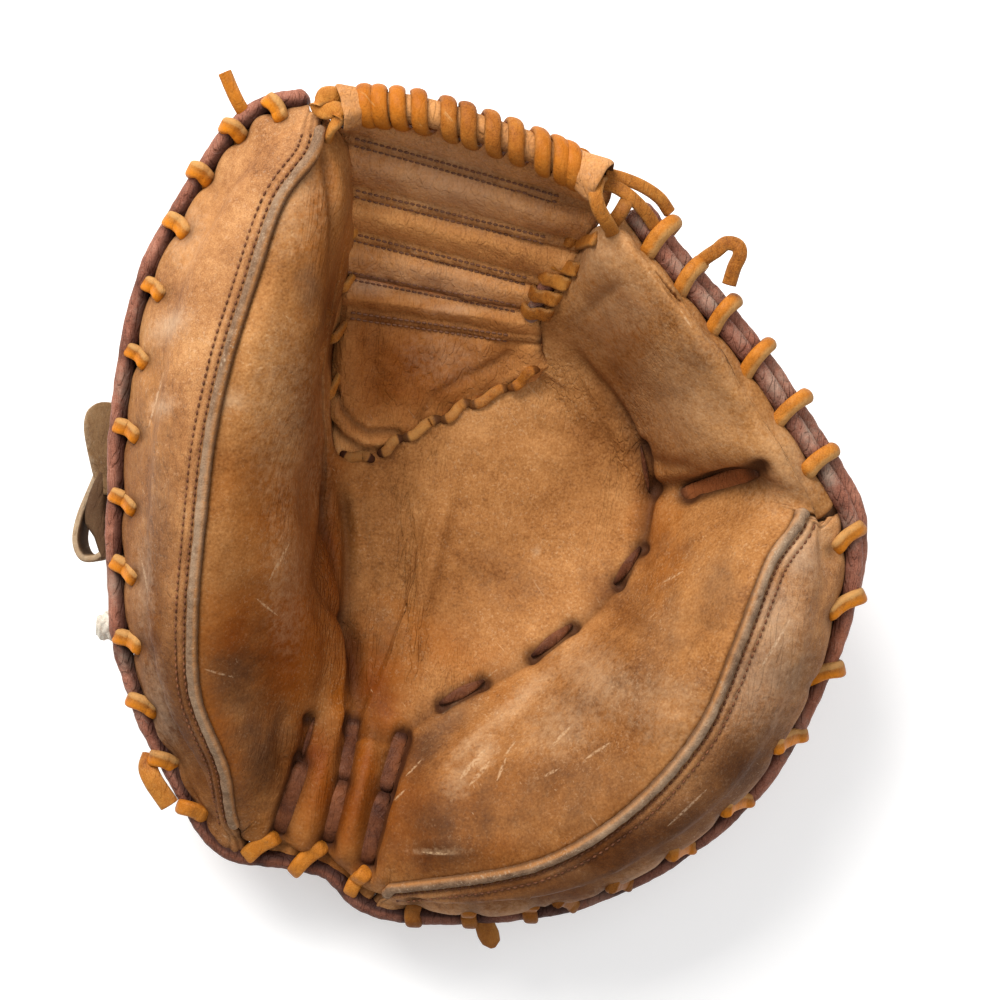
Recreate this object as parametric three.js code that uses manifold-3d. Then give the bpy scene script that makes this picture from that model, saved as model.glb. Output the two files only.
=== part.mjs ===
import * as THREE from "three";
import Module from "manifold-3d";

// Catcher's mitt lying on its back with the palm up, in millimetres.
// X runs from the thumb side to the finger side, Y from the heel to the web, Z up.
// The origin is on the flattened back under the middle of the pocket.

const kernel = await Module();
kernel.setup();

// Clearance kept between pieces that touch
const fit = 0.35;

// Leather thicknesses
const rimThick = 3.5;
const backThick = 3;
const innerThick = 7;
const footThick = 9;
const crownLeast = 10;
const seamLeast = 8;
const tipThinFrom = 22.5;

// Land beside the rim where the lace goes through, and swell of the side walls
const landWide = 7;
const landRise = 0.5;
const landShare = 0.45;
const wallBulge = 0.18;

// Piped seams between the palm and the side panels
const weltRadius = 2.6;
const weltProud = 0.7;
const bevelWide = 4;
const bevelDeep = 4.8;
const bevelMost = 0.45;
const acrossStep = 0.01;
// Lengths where the welt is let into the leather at the ends of the side panels
const weltSeats = [
  { from: 9, to: 9.9 },
  { from: 13.35, to: 14.5 },
  { from: 19.5, to: 20.1 },
];

// Rolled leather bindings outside the rim
const bindingRadius = 3;
const bindingOut = bindingRadius + fit;
const palmBindingDrop = 0.7;
const backBindingDrop = 7;
const backBindingShift = 3;

// Binding along the web edge of the finger pad
const innerBindingRadius = 2.7;
const innerBindingDrop = 3.4;

// Rawhide rim lace, one turn for every pitch along the rim
const laceWide = 4.6;
const laceThick = 1.6;
const laceProud = 0.75;
const rimPitch = 20.5;
const mitreMost = 1.5;

// One turn of the rim lace: share of the pitch, distance inside the rim and drop below it.
// The open columns hold where the back is cut away; shifts is 1 where it rounds the back binding.
const laceRing = [
  { at: "hole", advance: 0, inward: 4.5, drop: -2, openInward: 4.5, openDrop: -2, shifts: 0 },
  { at: "over", advance: 0.22, inward: -5.7, drop: -4.9, openInward: -5.7, openDrop: -4.9, shifts: 0 },
  { at: "outside", advance: 0.38, inward: -9.5, drop: 0.7, openInward: -9.5, openDrop: 0.7, shifts: 0 },
  { at: "low side", advance: 0.62, inward: -9.5, drop: 7.8, openInward: -7.4, openDrop: 4.8, shifts: 1 },
  { at: "under", advance: 0.78, inward: -5, drop: 13.1, openInward: -3.5, openDrop: 6.4, shifts: 1 },
  { at: "back up", advance: 0.96, inward: 4.5, drop: 9, openInward: 4.5, openDrop: 5.4, shifts: 0 },
];
const rimRuns = [
  { name: "thumb_rim_lace", from: 0.15, to: 9 },
  { name: "heel_rim_lace", from: 9.65, to: 14.4 },
  { name: "finger_rim_lace", from: 14.65, to: 24.9 },
];

// Each section runs from the web edge over the palm to the rim
const sections = [
  { at: "thumb tip", inner: [-43.5, 123, 84], foot: [-43.5, 123.5, 90], crown: [-45, 124.5, 97],
    seam: [-47.5, 125.5, 102], rim: [-52, 128.5, 98], keel: 62 },
  { at: "thumb top", inner: [-39.5, 114.5, 80], foot: [-39.5, 114.5, 87], crown: [-42, 114.5, 97],
    seam: [-50, 113, 105], rim: [-68.5, 125, 93], keel: 50 },
  { at: "thumb shoulder", inner: [-40, 99, 68], foot: [-41, 98.5, 76], crown: [-44.5, 97, 99],
    seam: [-60.5, 97.5, 107], rim: [-86.5, 105, 83], keel: 38 },
  { at: "thumb upper", inner: [-44, 75.5, 56], foot: [-44.5, 75.5, 66], crown: [-50.5, 74, 98],
    seam: [-69, 72.5, 107], rim: [-102.5, 78.5, 76], keel: 24 },
  { at: "thumb mid", inner: [-49, 51.5, 47], foot: [-50.5, 51.5, 56], crown: [-56, 49.5, 96],
    seam: [-76.5, 49, 106], rim: [-109.5, 50.5, 70], keel: 12 },
  { at: "web corner left", inner: [-48.5, 24, 38], foot: [-50.5, 25, 43], crown: [-60.5, 25, 88],
    seam: [-82, 25, 103], rim: [-113.5, 25, 65], keel: 4 },
  { at: "thumb waist", inner: [-38, 22, 33], foot: [-51, 1, 37], crown: [-64, -1, 83],
    seam: [-85.5, -1.5, 99], rim: [-115, -3, 61], keel: 0 },
  { at: "thumb lower", inner: [-27.5, 28.5, 32], foot: [-45.5, -24, 35], crown: [-64.5, -26.5, 74],
    seam: [-88.5, -28, 93], rim: [-114.5, -32, 57], keel: 0 },
  { at: "thumb heel", inner: [-18.5, 32.5, 32], foot: [-43, -45, 35], crown: [-64, -51.5, 62],
    seam: [-89, -54.5, 83], rim: [-109.5, -57, 52], keel: 0 },
  { at: "thumb corner", inner: [-12.5, 35.5, 32], foot: [-43.5, -60, 36], crown: [-62, -70.5, 52],
    seam: [-82, -79, 69], rim: [-99, -80, 47], keel: 0 },
  { at: "heel left", inner: [-8, 37.5, 32], foot: [-45, -68.5, 37], crown: [-60, -83, 48],
    seam: [-79, -102.5, 50], rim: [-84.5, -105.5, 43], keel: 0 },
  { at: "heel inner", inner: [-6, 39, 32], foot: [-42.5, -72, 38], crown: [-53.5, -89, 46],
    seam: [-61, -105.5, 45], rim: [-64, -110, 40], keel: 0 },
  { at: "heel middle", inner: [-4, 40, 32], foot: [-37.5, -72, 38], crown: [-44, -92.5, 46],
    seam: [-49, -109.5, 44], rim: [-49, -115, 38], keel: 0 },
  { at: "heel right", inner: [-2, 41, 32], foot: [-29, -72.5, 39], crown: [-34.5, -100.5, 47],
    seam: [-36, -120.5, 46], rim: [-37, -126, 37], keel: 0 },
  { at: "palm corner", inner: [1, 42, 32], foot: [-18, -64.5, 39], crown: [-18, -92.5, 58],
    seam: [-18, -118.5, 58], rim: [-18, -129, 39], keel: 0 },
  { at: "finger bottom", inner: [3.5, 43.5, 32], foot: [-1.5, -56, 38], crown: [9.5, -82.5, 62],
    seam: [19, -109.5, 74], rim: [22, -126, 43], keel: 0 },
  { at: "finger lower", inner: [7, 44.5, 32], foot: [19, -45, 36], crown: [33.5, -69, 70],
    seam: [46.5, -92, 84], rim: [56.5, -112, 48], keel: 0 },
  { at: "finger turn", inner: [10.5, 46, 32], foot: [37.5, -30, 34], crown: [53.5, -46.5, 74],
    seam: [69, -66, 91], rim: [86, -88, 54], keel: 0 },
  { at: "finger side", inner: [14, 47.5, 32], foot: [49, -16.5, 34], crown: [65.5, -25, 72],
    seam: [81.5, -37, 93], rim: [105.5, -56.5, 61], keel: 0 },
  { at: "finger waist", inner: [16.5, 48.5, 32], foot: [55, -1.5, 34], crown: [73.5, -6, 64],
    seam: [91.5, -12.5, 89], rim: [116, -25, 68], keel: 0 },
  { at: "finger valley", inner: [18.5, 49.5, 32], foot: [57.5, 10.5, 34], crown: [79.5, 9.5, 58],
    seam: [102, 2.5, 80], rim: [116, -2.5, 73], keel: 4 },
  { at: "finger upper", inner: [19.5, 51.5, 35], foot: [55, 22, 37], crown: [76.5, 23.5, 78],
    seam: [95, 18, 86], rim: [108, 13.5, 77], keel: 12 },
  { at: "finger mid", inner: [20, 55.5, 38], foot: [46.5, 37, 40], crown: [66.5, 46.5, 86],
    seam: [77.5, 44.5, 94], rim: [89.5, 41, 83], keel: 22 },
  { at: "finger shoulder", inner: [20.5, 61, 44], foot: [35, 55, 47], crown: [53, 66.5, 96],
    seam: [63.5, 64, 101], rim: [73.5, 60.5, 88], keel: 36 },
  { at: "finger top", inner: [22, 70.5, 58], foot: [27.5, 70, 64], crown: [43, 80.5, 99],
    seam: [51.5, 79.5, 103], rim: [58.5, 77.5, 93], keel: 50 },
  { at: "finger tip", inner: [35, 90, 78], foot: [35, 90, 87], crown: [38, 92, 96],
    seam: [41.5, 92.5, 100], rim: [44.5, 94, 98], keel: 64 },
];

// Where the palm leather ends across the sections: 3 is the piped seam, 6 is the rim
const palmEdge = [
  { row: 0, across: 3 },
  { row: 10, across: 3 },
  { row: 10.5, across: 6 },
  { row: 13, across: 6 },
  { row: 13.5, across: 3 },
  { row: 20, across: 3 },
  { row: 20.5, across: 6 },
  { row: 25, across: 6 },
];

// Rows of the back shell where the hand goes in, and how far the opening reaches inward
const wristFrom = 7.5;
const wristTo = 13;
const wristDeep = 0.5;
const wristPast = 9;
const wristWave = 0.04;
const wristTurn = 1.4;
const backSplit = 12.3;
const backJoint = 0.02;

// Profile of the back from the rim inward: distance in mm, and height as a share of the rim height
const backProfile = [
  { at: "rim edge", inward: 0, height: 1 },
  { at: "lace land", inward: 8.5, height: 1 },
  { at: "side", inward: 11.5, height: 0.62 },
  { at: "belly", inward: 17, height: 0.27 },
  { at: "turn", inward: 26, height: 0.05 },
  { at: "flat", inward: 35, height: 0 },
];
// The same towards the inner edge: distance from that edge, height as a share of the way up to it
const backInner = [
  { at: "flat", outward: 26, height: 0 },
  { at: "turn", outward: 12, height: 0.25 },
  { at: "wall", outward: 5, height: 0.75 },
  { at: "edge", outward: 1.2, height: 1 },
];
const backFull = 76;
const backEdge = 0.2;
const backRise = 0.25;

// Rows of the web from the bar down; bow lifts the middle of a row towards the bar
const upperWeb = [
  { at: "under bar", left: [-38, 122.3, 99], right: [28.7, 99.6, 98.5], bow: 5.5, thick: 3 },
  { at: "seam one", left: [-38, 117.5, 92], right: [27.2, 96, 91], bow: 4.5, thick: 2.5 },
  { at: "channel one", left: [-38.1, 111.5, 87], right: [24.7, 93, 86], bow: 3.5, thick: 7 },
  { at: "seam two", left: [-38.4, 105, 78], right: [21.8, 89, 77], bow: 2.5, thick: 2.5 },
  { at: "channel two", left: [-39, 99, 74], right: [18.6, 83.6, 71], bow: 2, thick: 7 },
  { at: "seam three", left: [-40, 93, 67], right: [15.6, 77.8, 63], bow: 1.5, thick: 2.5 },
  { at: "channel three", left: [-41, 87, 64], right: [13.6, 74, 58], bow: 1, thick: 6.5 },
  { at: "lower edge", left: [-42, 81.5, 60], right: [12.4, 70.7, 54], bow: 0.5, thick: 3 },
];
const lowerWeb = [
  { at: "roll edge", left: [-42.8, 77, 58], right: [12, 69.9, 53], bow: 0.5, thick: 3 },
  { at: "roll", left: [-43.2, 73.5, 57], right: [10.9, 66.6, 51], bow: 0.5, thick: 5.5 },
  { at: "stitching", left: [-44, 68.5, 52.5], right: [11, 61.5, 47], bow: 0.5, thick: 2.5 },
  { at: "upper fold", left: [-45.6, 58, 49], right: [11.4, 58.5, 43.5], bow: 0, thick: 3 },
  { at: "middle", left: [-47.2, 46, 45], right: [13.4, 56.2, 41], bow: -1, thick: 2.5 },
  { at: "low", left: [-47.3, 35, 40.5], right: [14.6, 54.6, 39], bow: -2, thick: 3 },
];
const webSag = 5;
const webCols = 6;
const webFootFrom = 5.15;
const webFootTo = 21.6;
const webFootGap = 1.2;
const webFootDrop = 1;
const webFootThick = 3;

// Roll along the top of the web, with a flared sleeve at each end
const bar = [
  { at: "left sleeve end", centre: [-39.4, 128, 103], radius: 7.5 },
  { at: "left sleeve", centre: [-36.5, 128.8, 104], radius: 9 },
  { at: "left neck", centre: [-32, 128.8, 105], radius: 6.8 },
  { at: "left middle", centre: [-20, 127.3, 106], radius: 6.6 },
  { at: "middle left", centre: [-8, 124.3, 106.5], radius: 6.6 },
  { at: "middle", centre: [5, 120.3, 106.5], radius: 6.6 },
  { at: "right middle", centre: [17, 115.6, 106], radius: 6.6 },
  { at: "right neck", centre: [28.5, 110.2, 105], radius: 6.8 },
  { at: "right sleeve", centre: [33.5, 107.6, 104.5], radius: 8.6 },
  { at: "right sleeve end", centre: [37.5, 105.2, 104], radius: 7.6 },
];
const wrapTurns = 12;
const wrapSteps = 5;
const wrapReach = 9.5;
const wrapFrom = 0.25;
const wrapTo = 0.76;
const wrapWide = 4.2;

// Running stitches of dark lace through the palm, start and end of each visible length
const pocketStitches = [
  { from: [88.5, 16.5], to: [68.5, 8.5] },
  { from: [54.5, 25], to: [57.5, 10] },
  { from: [53, -9.5], to: [46, -21] },
  { from: [31, -34.5], to: [18.5, -45] },
  { from: [1.5, -54], to: [-12.5, -61.5] },
];
const heelLeftStitches = [
  { from: [-53.5, -60], to: [-59, -79] },
  { from: [-58.5, -82.5], to: [-67, -103] },
];
const heelMiddleStitches = [
  { from: [-42.6, -67.4], to: [-45.2, -85] },
  { from: [-45, -88], to: [-50, -105.5] },
];
const heelRightStitches = [
  { from: [-26.4, -72], to: [-31.6, -88.5] },
  { from: [-31.8, -91.5], to: [-37.5, -112.5] },
];
const stitchDeep = 4.6;
const stitchEnd = 0.02;
const stitchArch = 0.8;
const pocketLaceWide = 4.6;
const heelLaceWide = 5;

// Turns of the laces beside the web: distance from the pad edge towards the web, and drop below it
const sideLaceWide = 4;
const sideLaceRoom = 1.6 * fit;
const fingerWebRing = [
  { advance: 0, web: -3.4, drop: 0, over: "palm" },
  { advance: 0.2, web: 4.6, drop: -1.8 },
  { advance: 0.4, web: 7.7, drop: 2.4 },
  { advance: 0.6, web: 6.6, drop: 7.1 },
  { advance: 0.95, web: -3.4, drop: 12.6 },
];
const thumbWebRing = [
  { advance: 0, web: 6, drop: 4, over: "web" },
  { advance: 0.2, web: 0.6, drop: -1.6 },
  { advance: 0.35, web: -3, drop: 2.2 },
  { advance: 0.5, web: -3, drop: 5 },
  { advance: 0.7, web: 0.6, drop: 8.6 },
  { advance: 0.98, web: 6, drop: 4, below: 5 },
];

// Lace along the joint of the web and the palm: row, and distance into the palm
const baseLine = [
  { row: 5.6, inward: 2.4 },
  { row: 7, inward: 0.4 },
  { row: 8.5, inward: 2.4 },
  { row: 10, inward: 0.4 },
  { row: 12, inward: 2.4 },
  { row: 14, inward: 0.4 },
  { row: 16, inward: 2.4 },
  { row: 18, inward: 0.4 },
  { row: 20, inward: 2.4 },
  { row: 21.4, inward: 0.4 },
];
const baseLaceWide = 3.2;
const baseLaceRise = 0.4;

// Wrist strap: over the opening, up beside the thumb back and folded into a loop at the edge
const strapWide = 20;
const strapThick = 2.5;
const strapLine = [
  { centre: [-34, -92, 6.4], wide: [0.75, 0.66, 0] },
  { centre: [-50, -83, 6], wide: [0.75, 0.66, 0] },
  { centre: [-70, -68, 3.2], wide: [0.75, 0.66, 0] },
  { centre: [-87, -53.5, 5.8], wide: [0.72, 0.62, 0.3] },
  { centre: [-100, -41.5, 12], wide: [0.55, 0.45, 0.7] },
  { centre: [-110.5, -30, 20], wide: [0.35, 0.2, 0.92] },
  { centre: [-117.5, -18, 26.5], wide: [0.15, 0.05, 1] },
  { centre: [-123.5, -10.5, 29.5], wide: [0, 0, 1] },
  { centre: [-129, -12.5, 30], wide: [0, 0, 1] },
  { centre: [-133.2, -12, 30], wide: [0, 0, 1] },
  { centre: [-135.2, -6.5, 30], wide: [0, 0, 1] },
  { centre: [-133.8, 1.5, 30], wide: [0, 0, 1] },
  { centre: [-130, 11, 30], wide: [0, 0, 1] },
  { centre: [-125.5, 20.5, 30], wide: [0, 0, 1] },
  { centre: [-119, 29, 30], wide: [0, 0, 1] },
];
// Rounded suede end of the strap, tapering to where it is sewn in
const tabThick = 2.2;
const tabLine = [
  { centre: [-120, 9, 42.5], half: 4.5 },
  { centre: [-121.5, 18, 44], half: 6.2 },
  { centre: [-123, 26, 45], half: 7.6 },
  { centre: [-123.6, 33, 45.4], half: 7.8 },
  { centre: [-123.8, 37, 45.6], half: 6 },
  { centre: [-123.8, 39.6, 45.6], half: 2.6 },
];
const tabFace = [0.9, 0, 0.42];

// Fleece lining of the wrist band, its end showing outside the rim
const fleeceSides = 10;
const fleeceWay = [0.5, 0.8, 0.1];
const fleeceLine = [
  { centre: [-74, -47.8, 17], wide: 8, deep: 3 },
  { centre: [-90, -42.3, 23], wide: 7, deep: 3 },
  { centre: [-105, -39.3, 32], wide: 6, deep: 3 },
  { centre: [-117, -35.3, 36], wide: 6, deep: 3.2 },
  { centre: [-124.5, -35.3, 38.2], wide: 5.5, deep: 3.6 },
  { centre: [-128.2, -35.1, 39], wide: 3, deep: 2.2 },
];

// Single lengths of rawhide at the ends of the bar and the loose ends of the lacing
const looseLaces = [
  {
    name: "bar_right_lace_front",
    line: [[41.2, 101.2, 105.6], [41, 98.6, 110.4], [38.8, 96.2, 110.8], [38.4, 93.2, 107.6],
      [40, 90.4, 104.8], [40.6, 89.9, 97]],
    wide: 4.4,
    face: [1, 0.1, 0],
  },
  {
    name: "bar_right_lace_middle",
    line: [[38.4, 105.3, 102.4], [44.6, 104, 102.6], [49, 98.8, 103.6], [53.4, 94.4, 101.5],
      [56.8, 90.5, 98]],
    wide: 4,
    face: [0.55, 0.83, 0.2],
  },
  {
    name: "bar_right_lace_back",
    line: [[41.5, 110.4, 103.1], [47.2, 108, 103.4], [53, 102.4, 101.5], [58, 99.4, 98], [61.2, 95.4, 94]],
    wide: 4,
    face: [0.3, 0.5, 0.8],
  },
  {
    name: "bar_left_lace",
    line: [[-43.4, 130.4, 100.5], [-43.9, 130, 106.5], [-43.9, 126.6, 109.2], [-43.2, 122.6, 108.6],
      [-43.6, 119.4, 104.4], [-43.8, 118.6, 98.5]],
    wide: 4.4,
    face: [0.3, 0.9, 0.2],
  },
  {
    name: "tail_finger_side",
    line: [[66.3, 79.6, 91.1], [72, 82.2, 95.2], [73.6, 86.2, 97], [77.2, 89.8, 97.5], [81.5, 88, 96.5],
      [82, 82.5, 94.5], [79, 75.5, 91.5]],
    wide: 4,
    face: [0.3, 0.2, 0.95],
  },
  {
    name: "tail_thumb_top",
    line: [[-72.5, 130.8, 93.1], [-74.8, 134.2, 94.8], [-76.2, 138, 96], [-78.6, 141.8, 97]],
    wide: 4.2,
    face: [0.9, 0.35, 0.1],
  },
  {
    name: "tail_heel",
    line: [[2.5, -135.3, 40.1], [3.1, -138.6, 38.8], [4, -142, 36.8], [4.2, -145, 35.4]],
    wide: 5.4,
    face: [1, 0, 0],
  },
  {
    name: "knot_heel_left",
    line: [[-107.4, -81.4, 47.4], [-108.6, -84.6, 47.2], [-106.2, -89.4, 45.6], [-101.8, -93.8, 44]],
    wide: 4.6,
    face: [0.3, 0.2, 0.95],
  },
];
const looseSteps = 2;

const hueTan = 0xb4793f;
const hueSide = 0xa8703c;
const hueWeb = 0x9a6434;
const hueBinding = 0x6e3b2c;
const hueWelt = 0x8f7a68;
const hueRawhide = 0xc2772b;
const hueDarkLace = 0x7a3424;
const hueBack = 0x8e5b30;
const hueSuede = 0x9c7a50;
const hueFleece = 0xd8d0c2;

const lastRow = sections.length - 1;
const up = new THREE.Vector3(0, 0, 1);
const rails = {};
for (const name of ["inner", "foot", "crown", "seam", "rim"]) {
  const points = sections.map((row) => new THREE.Vector3(...row[name]));
  rails[name] = new THREE.CatmullRomCurve3(points, false, "catmullrom", 0.5);
}
const keelPoints = sections.map((row) => new THREE.Vector3(0, 0, row.keel));
rails.keel = new THREE.CatmullRomCurve3(keelPoints, false, "catmullrom", 0.5);

function rail(name, row) {
  return rails[name].getPoint(row / lastRow);
}

function readTable(table, key, value, at) {
  const next = Math.max(1, table.findIndex((entry) => entry[key] >= at));
  const a = table[next - 1];
  const b = table[next];
  return THREE.MathUtils.mapLinear(at, a[key], b[key], a[value], b[value]);
}

function outward(row, name = "rim") {
  const a = rail(name, Math.max(row - 0.05, 0));
  const b = rail(name, Math.min(row + 0.05, lastRow));
  return new THREE.Vector3(b.y - a.y, a.x - b.x, 0).normalize();
}

// Seven points across one section, from the web edge to the rim
const sectionStore = new Map();
function section(row) {
  if (sectionStore.has(row)) return sectionStore.get(row);
  const inner = rail("inner", row);
  const foot = rail("foot", row);
  const crown = rail("crown", row);
  const seam = rail("seam", row);
  const rim = rail("rim", row);
  const out = outward(row);
  const reach = Math.hypot(rim.x - seam.x, rim.y - seam.y);
  const land = rim.clone().addScaledVector(out, -Math.min(landWide, landShare * reach));
  land.z += landRise;
  const wall = seam.clone().lerp(land, 0.5);
  const swell = wallBulge * seam.distanceTo(land);
  wall.addScaledVector(out, 0.6 * swell);
  wall.z += 0.8 * swell;
  const line = new THREE.CatmullRomCurve3([inner, foot, crown, seam, wall, land, rim], false, "chordal");
  const underRim = rim.z - rimThick;
  const underSeam = Math.min(underRim, seam.z - seamLeast);
  const underFoot = foot.z - footThick;
  const thin = Math.max(1 - row, row - tipThinFrom, 0);
  const share = 0.5 + 0.4 * Math.min(thin, 1);
  const underCrown = Math.min(THREE.MathUtils.lerp(underFoot, underSeam, share), crown.z - crownLeast);
  const under = [inner.z - innerThick, underFoot, underCrown, underSeam, underRim, underRim, underRim];
  const found = { line, under, rim, inner, out };
  sectionStore.set(row, found);
  return found;
}

function topPoint(row, across) {
  return section(row).line.getPoint(across / 6);
}

function underHeight(row, across) {
  const low = Math.min(Math.floor(across), 5);
  const { under } = section(row);
  return THREE.MathUtils.lerp(under[low], under[low + 1], across - low);
}

// Closed solid from points and faces, turned to face outward
function solid(points, faces) {
  const volume = faces.reduce((sum, [a, b, c]) => (
    sum + points[a].dot(new THREE.Vector3().crossVectors(points[b], points[c]))
  ), 0);
  if (volume < 0) faces.forEach((face) => face.reverse());
  return new kernel.Manifold(new kernel.Mesh({
    numProp: 3,
    vertProperties: new Float32Array(points.flatMap((p) => [p.x, p.y, p.z])),
    triVerts: new Uint32Array(faces.flat()),
  }));
}

// Padded sheet between a top grid and a bottom grid
function slab(top, bottom) {
  const cols = top[0].length;
  const half = top.length * cols;
  const points = [...top.flat(), ...bottom.flat()];
  const faces = [];
  const quad = (a, b, c, d) => faces.push([a, b, c], [a, c, d]);
  for (let r = 0; r < top.length - 1; r += 1) {
    for (let c = 0; c < cols - 1; c += 1) {
      const a = r * cols + c;
      quad(a, a + 1, a + cols + 1, a + cols);
      quad(half + a, half + a + cols, half + a + cols + 1, half + a + 1);
    }
    const first = r * cols;
    const last = first + cols - 1;
    quad(first, first + cols, half + first + cols, half + first);
    quad(last, half + last, half + last + cols, last + cols);
  }
  const end = half - cols;
  for (let c = 0; c < cols - 1; c += 1) {
    quad(c, half + c, half + c + 1, c + 1);
    quad(end + c, end + c + 1, half + end + c + 1, half + end + c);
  }
  return solid(points, faces);
}

// Bar of any section carried along a line; the width keeps to the given directions
function sweep(path, widths, outline) {
  const points = [];
  const count = outline(0).length;
  path.forEach((point, i) => {
    const before = path[Math.max(i - 1, 0)];
    const after = path[Math.min(i + 1, path.length - 1)];
    const into = point.clone().sub(before).normalize();
    const away = after.clone().sub(point).normalize();
    if (i === 0) into.copy(away);
    if (i === path.length - 1) away.copy(into);
    const along = into.clone().add(away).normalize();
    const stretch = Math.min(1 / Math.max(along.dot(away), 1 / mitreMost), mitreMost);
    const wide = widths[i].clone().addScaledVector(along, -widths[i].dot(along)).normalize();
    const deep = new THREE.Vector3().crossVectors(along, wide);
    for (const [a, b] of outline(i)) {
      points.push(point.clone().addScaledVector(wide, a).addScaledVector(deep, b * stretch));
    }
  });
  const faces = [];
  for (let r = 0; r < path.length - 1; r += 1) {
    for (let c = 0; c < count; c += 1) {
      const a = r * count + c;
      const b = r * count + ((c + 1) % count);
      faces.push([a, b, b + count], [a, b + count, a + count]);
    }
  }
  const end = (path.length - 1) * count;
  for (let c = 1; c < count - 1; c += 1) {
    faces.push([0, c + 1, c], [end, end + c, end + c + 1]);
  }
  return solid(points, faces);
}

function ribbon(path, widths, wide, thick, grow = 0) {
  const a = wide / 2 + grow;
  const b = thick / 2 + grow;
  return sweep(path, widths, () => [[-a, -b], [a, -b], [a, b], [-a, b]]);
}

function tube(path, radiusAt, sides = 8) {
  const outline = (i) => {
    const ring = [];
    for (let s = 0; s < sides; s += 1) {
      const turn = (2 * Math.PI * (s + 0.5)) / sides;
      ring.push([radiusAt(i) * Math.cos(turn), radiusAt(i) * Math.sin(turn)]);
    }
    return ring;
  };
  return sweep(path, path.map(() => up), outline);
}

// Rows used for the surfaces, closer together where the sections are far apart
function rowsBetween(from, to, everySection = false) {
  const rows = [from, to];
  for (let row = 0; row <= lastRow; row += 0.5) {
    const wideApart = row < 10 || (row > 14 && row < 20);
    if (Number.isInteger(row) || (wideApart && !everySection)) rows.push(row);
  }
  if (!everySection) rows.push(10.25, 13.25, 20.25);
  return [...new Set(rows)].filter((row) => row >= from && row <= to).sort((a, b) => a - b);
}

// Place across a section that is the given distance from another place on it
function acrossAt(row, start, distance) {
  const from = topPoint(row, start);
  const way = Math.sign(distance);
  let across = start;
  const far = () => topPoint(row, across).distanceTo(from) >= Math.abs(distance);
  while (Math.abs(across - start) < bevelMost && !far()) {
    across += way * acrossStep;
  }
  return across;
}

// Palm leather and padding, one piece from the thumb tip round the heel to the finger tip
const palmStations = [0, 1, 1.45, 2, 2.55];
const palmTop = [];
const palmUnder = [];
for (const row of rowsBetween(0, lastRow)) {
  const edge = readTable(palmEdge, "row", "across", row);
  const stations = palmStations.map((station) => (
    station <= 2 ? station : 2 + (station - 2) * (edge - 2)
  ));
  stations.push(acrossAt(row, edge, -bevelWide), edge);
  const line = stations.map((across) => topPoint(row, across));
  palmUnder.push(line.map((point, i) => (
    new THREE.Vector3(point.x, point.y, underHeight(row, stations[i]))
  )));
  line[line.length - 1].z -= edge < 5.9 ? bevelDeep : 0;
  palmTop.push(line);
}
let palm = slab(palmTop, palmUnder);

// Side panels from the piped seam down to the rim
const panelStations = [0, 1 / 3, 2 / 3, 1];
function sidePanel(from, to) {
  const top = [];
  const under = [];
  for (const row of rowsBetween(from, to)) {
    const edge = readTable(palmEdge, "row", "across", row);
    const start = topPoint(row, edge);
    const stations = panelStations.map((station) => edge + station * (6 - edge));
    stations.splice(1, 0, acrossAt(row, edge, bevelWide));
    const line = stations.map((across) => topPoint(row, across));
    const away = line[1].clone().sub(start).setZ(0).normalize();
    line[0].addScaledVector(away, fit + 0.1);
    line[0].z -= bevelDeep;
    top.push(line);
    under.push(line.map((point, i) => (
      new THREE.Vector3(point.x, point.y, underHeight(row, stations[i]))
    )));
  }
  return slab(top, under);
}
let thumbSide = sidePanel(0, 10.25);
let fingerSide = sidePanel(13.25, 20.25);

function weltLine(from, to) {
  return rowsBetween(from, to).map((row) => {
    const point = topPoint(row, readTable(palmEdge, "row", "across", row));
    point.z += weltProud;
    return point;
  });
}
const thumbWeltLine = weltLine(0.3, 9.9);
const fingerWeltLine = weltLine(13.35, 20.1);

// Back shell: section heights under the same plan lines as the palm
function backBindingAside(row) {
  return backBindingShift * THREE.MathUtils.smoothstep(row, 15, 18);
}
const planSteps = 90;
function planLine(row) {
  const { rim, out } = section(row);
  const spots = [{ distance: 0, across: 6, point: rim }];
  for (let i = 1; i <= planSteps; i += 1) {
    const across = 6 - (6 * i) / planSteps;
    const point = topPoint(row, across);
    const last = spots[i - 1];
    const step = Math.hypot(point.x - last.point.x, point.y - last.point.y);
    spots.push({ distance: last.distance + step, across, point });
  }
  const length = spots[planSteps].distance;
  const find = (distance) => {
    if (distance <= 0) return { across: 6, point: rim.clone().addScaledVector(out, -distance) };
    const wanted = Math.min(distance, length - 0.01);
    const i = Math.max(1, spots.findIndex((spot) => spot.distance >= wanted));
    const share = (wanted - spots[i - 1].distance) / (spots[i].distance - spots[i - 1].distance);
    return {
      across: THREE.MathUtils.lerp(spots[i - 1].across, spots[i].across, share),
      point: spots[i - 1].point.clone().lerp(spots[i].point, share),
    };
  };
  return { length, find };
}
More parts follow.
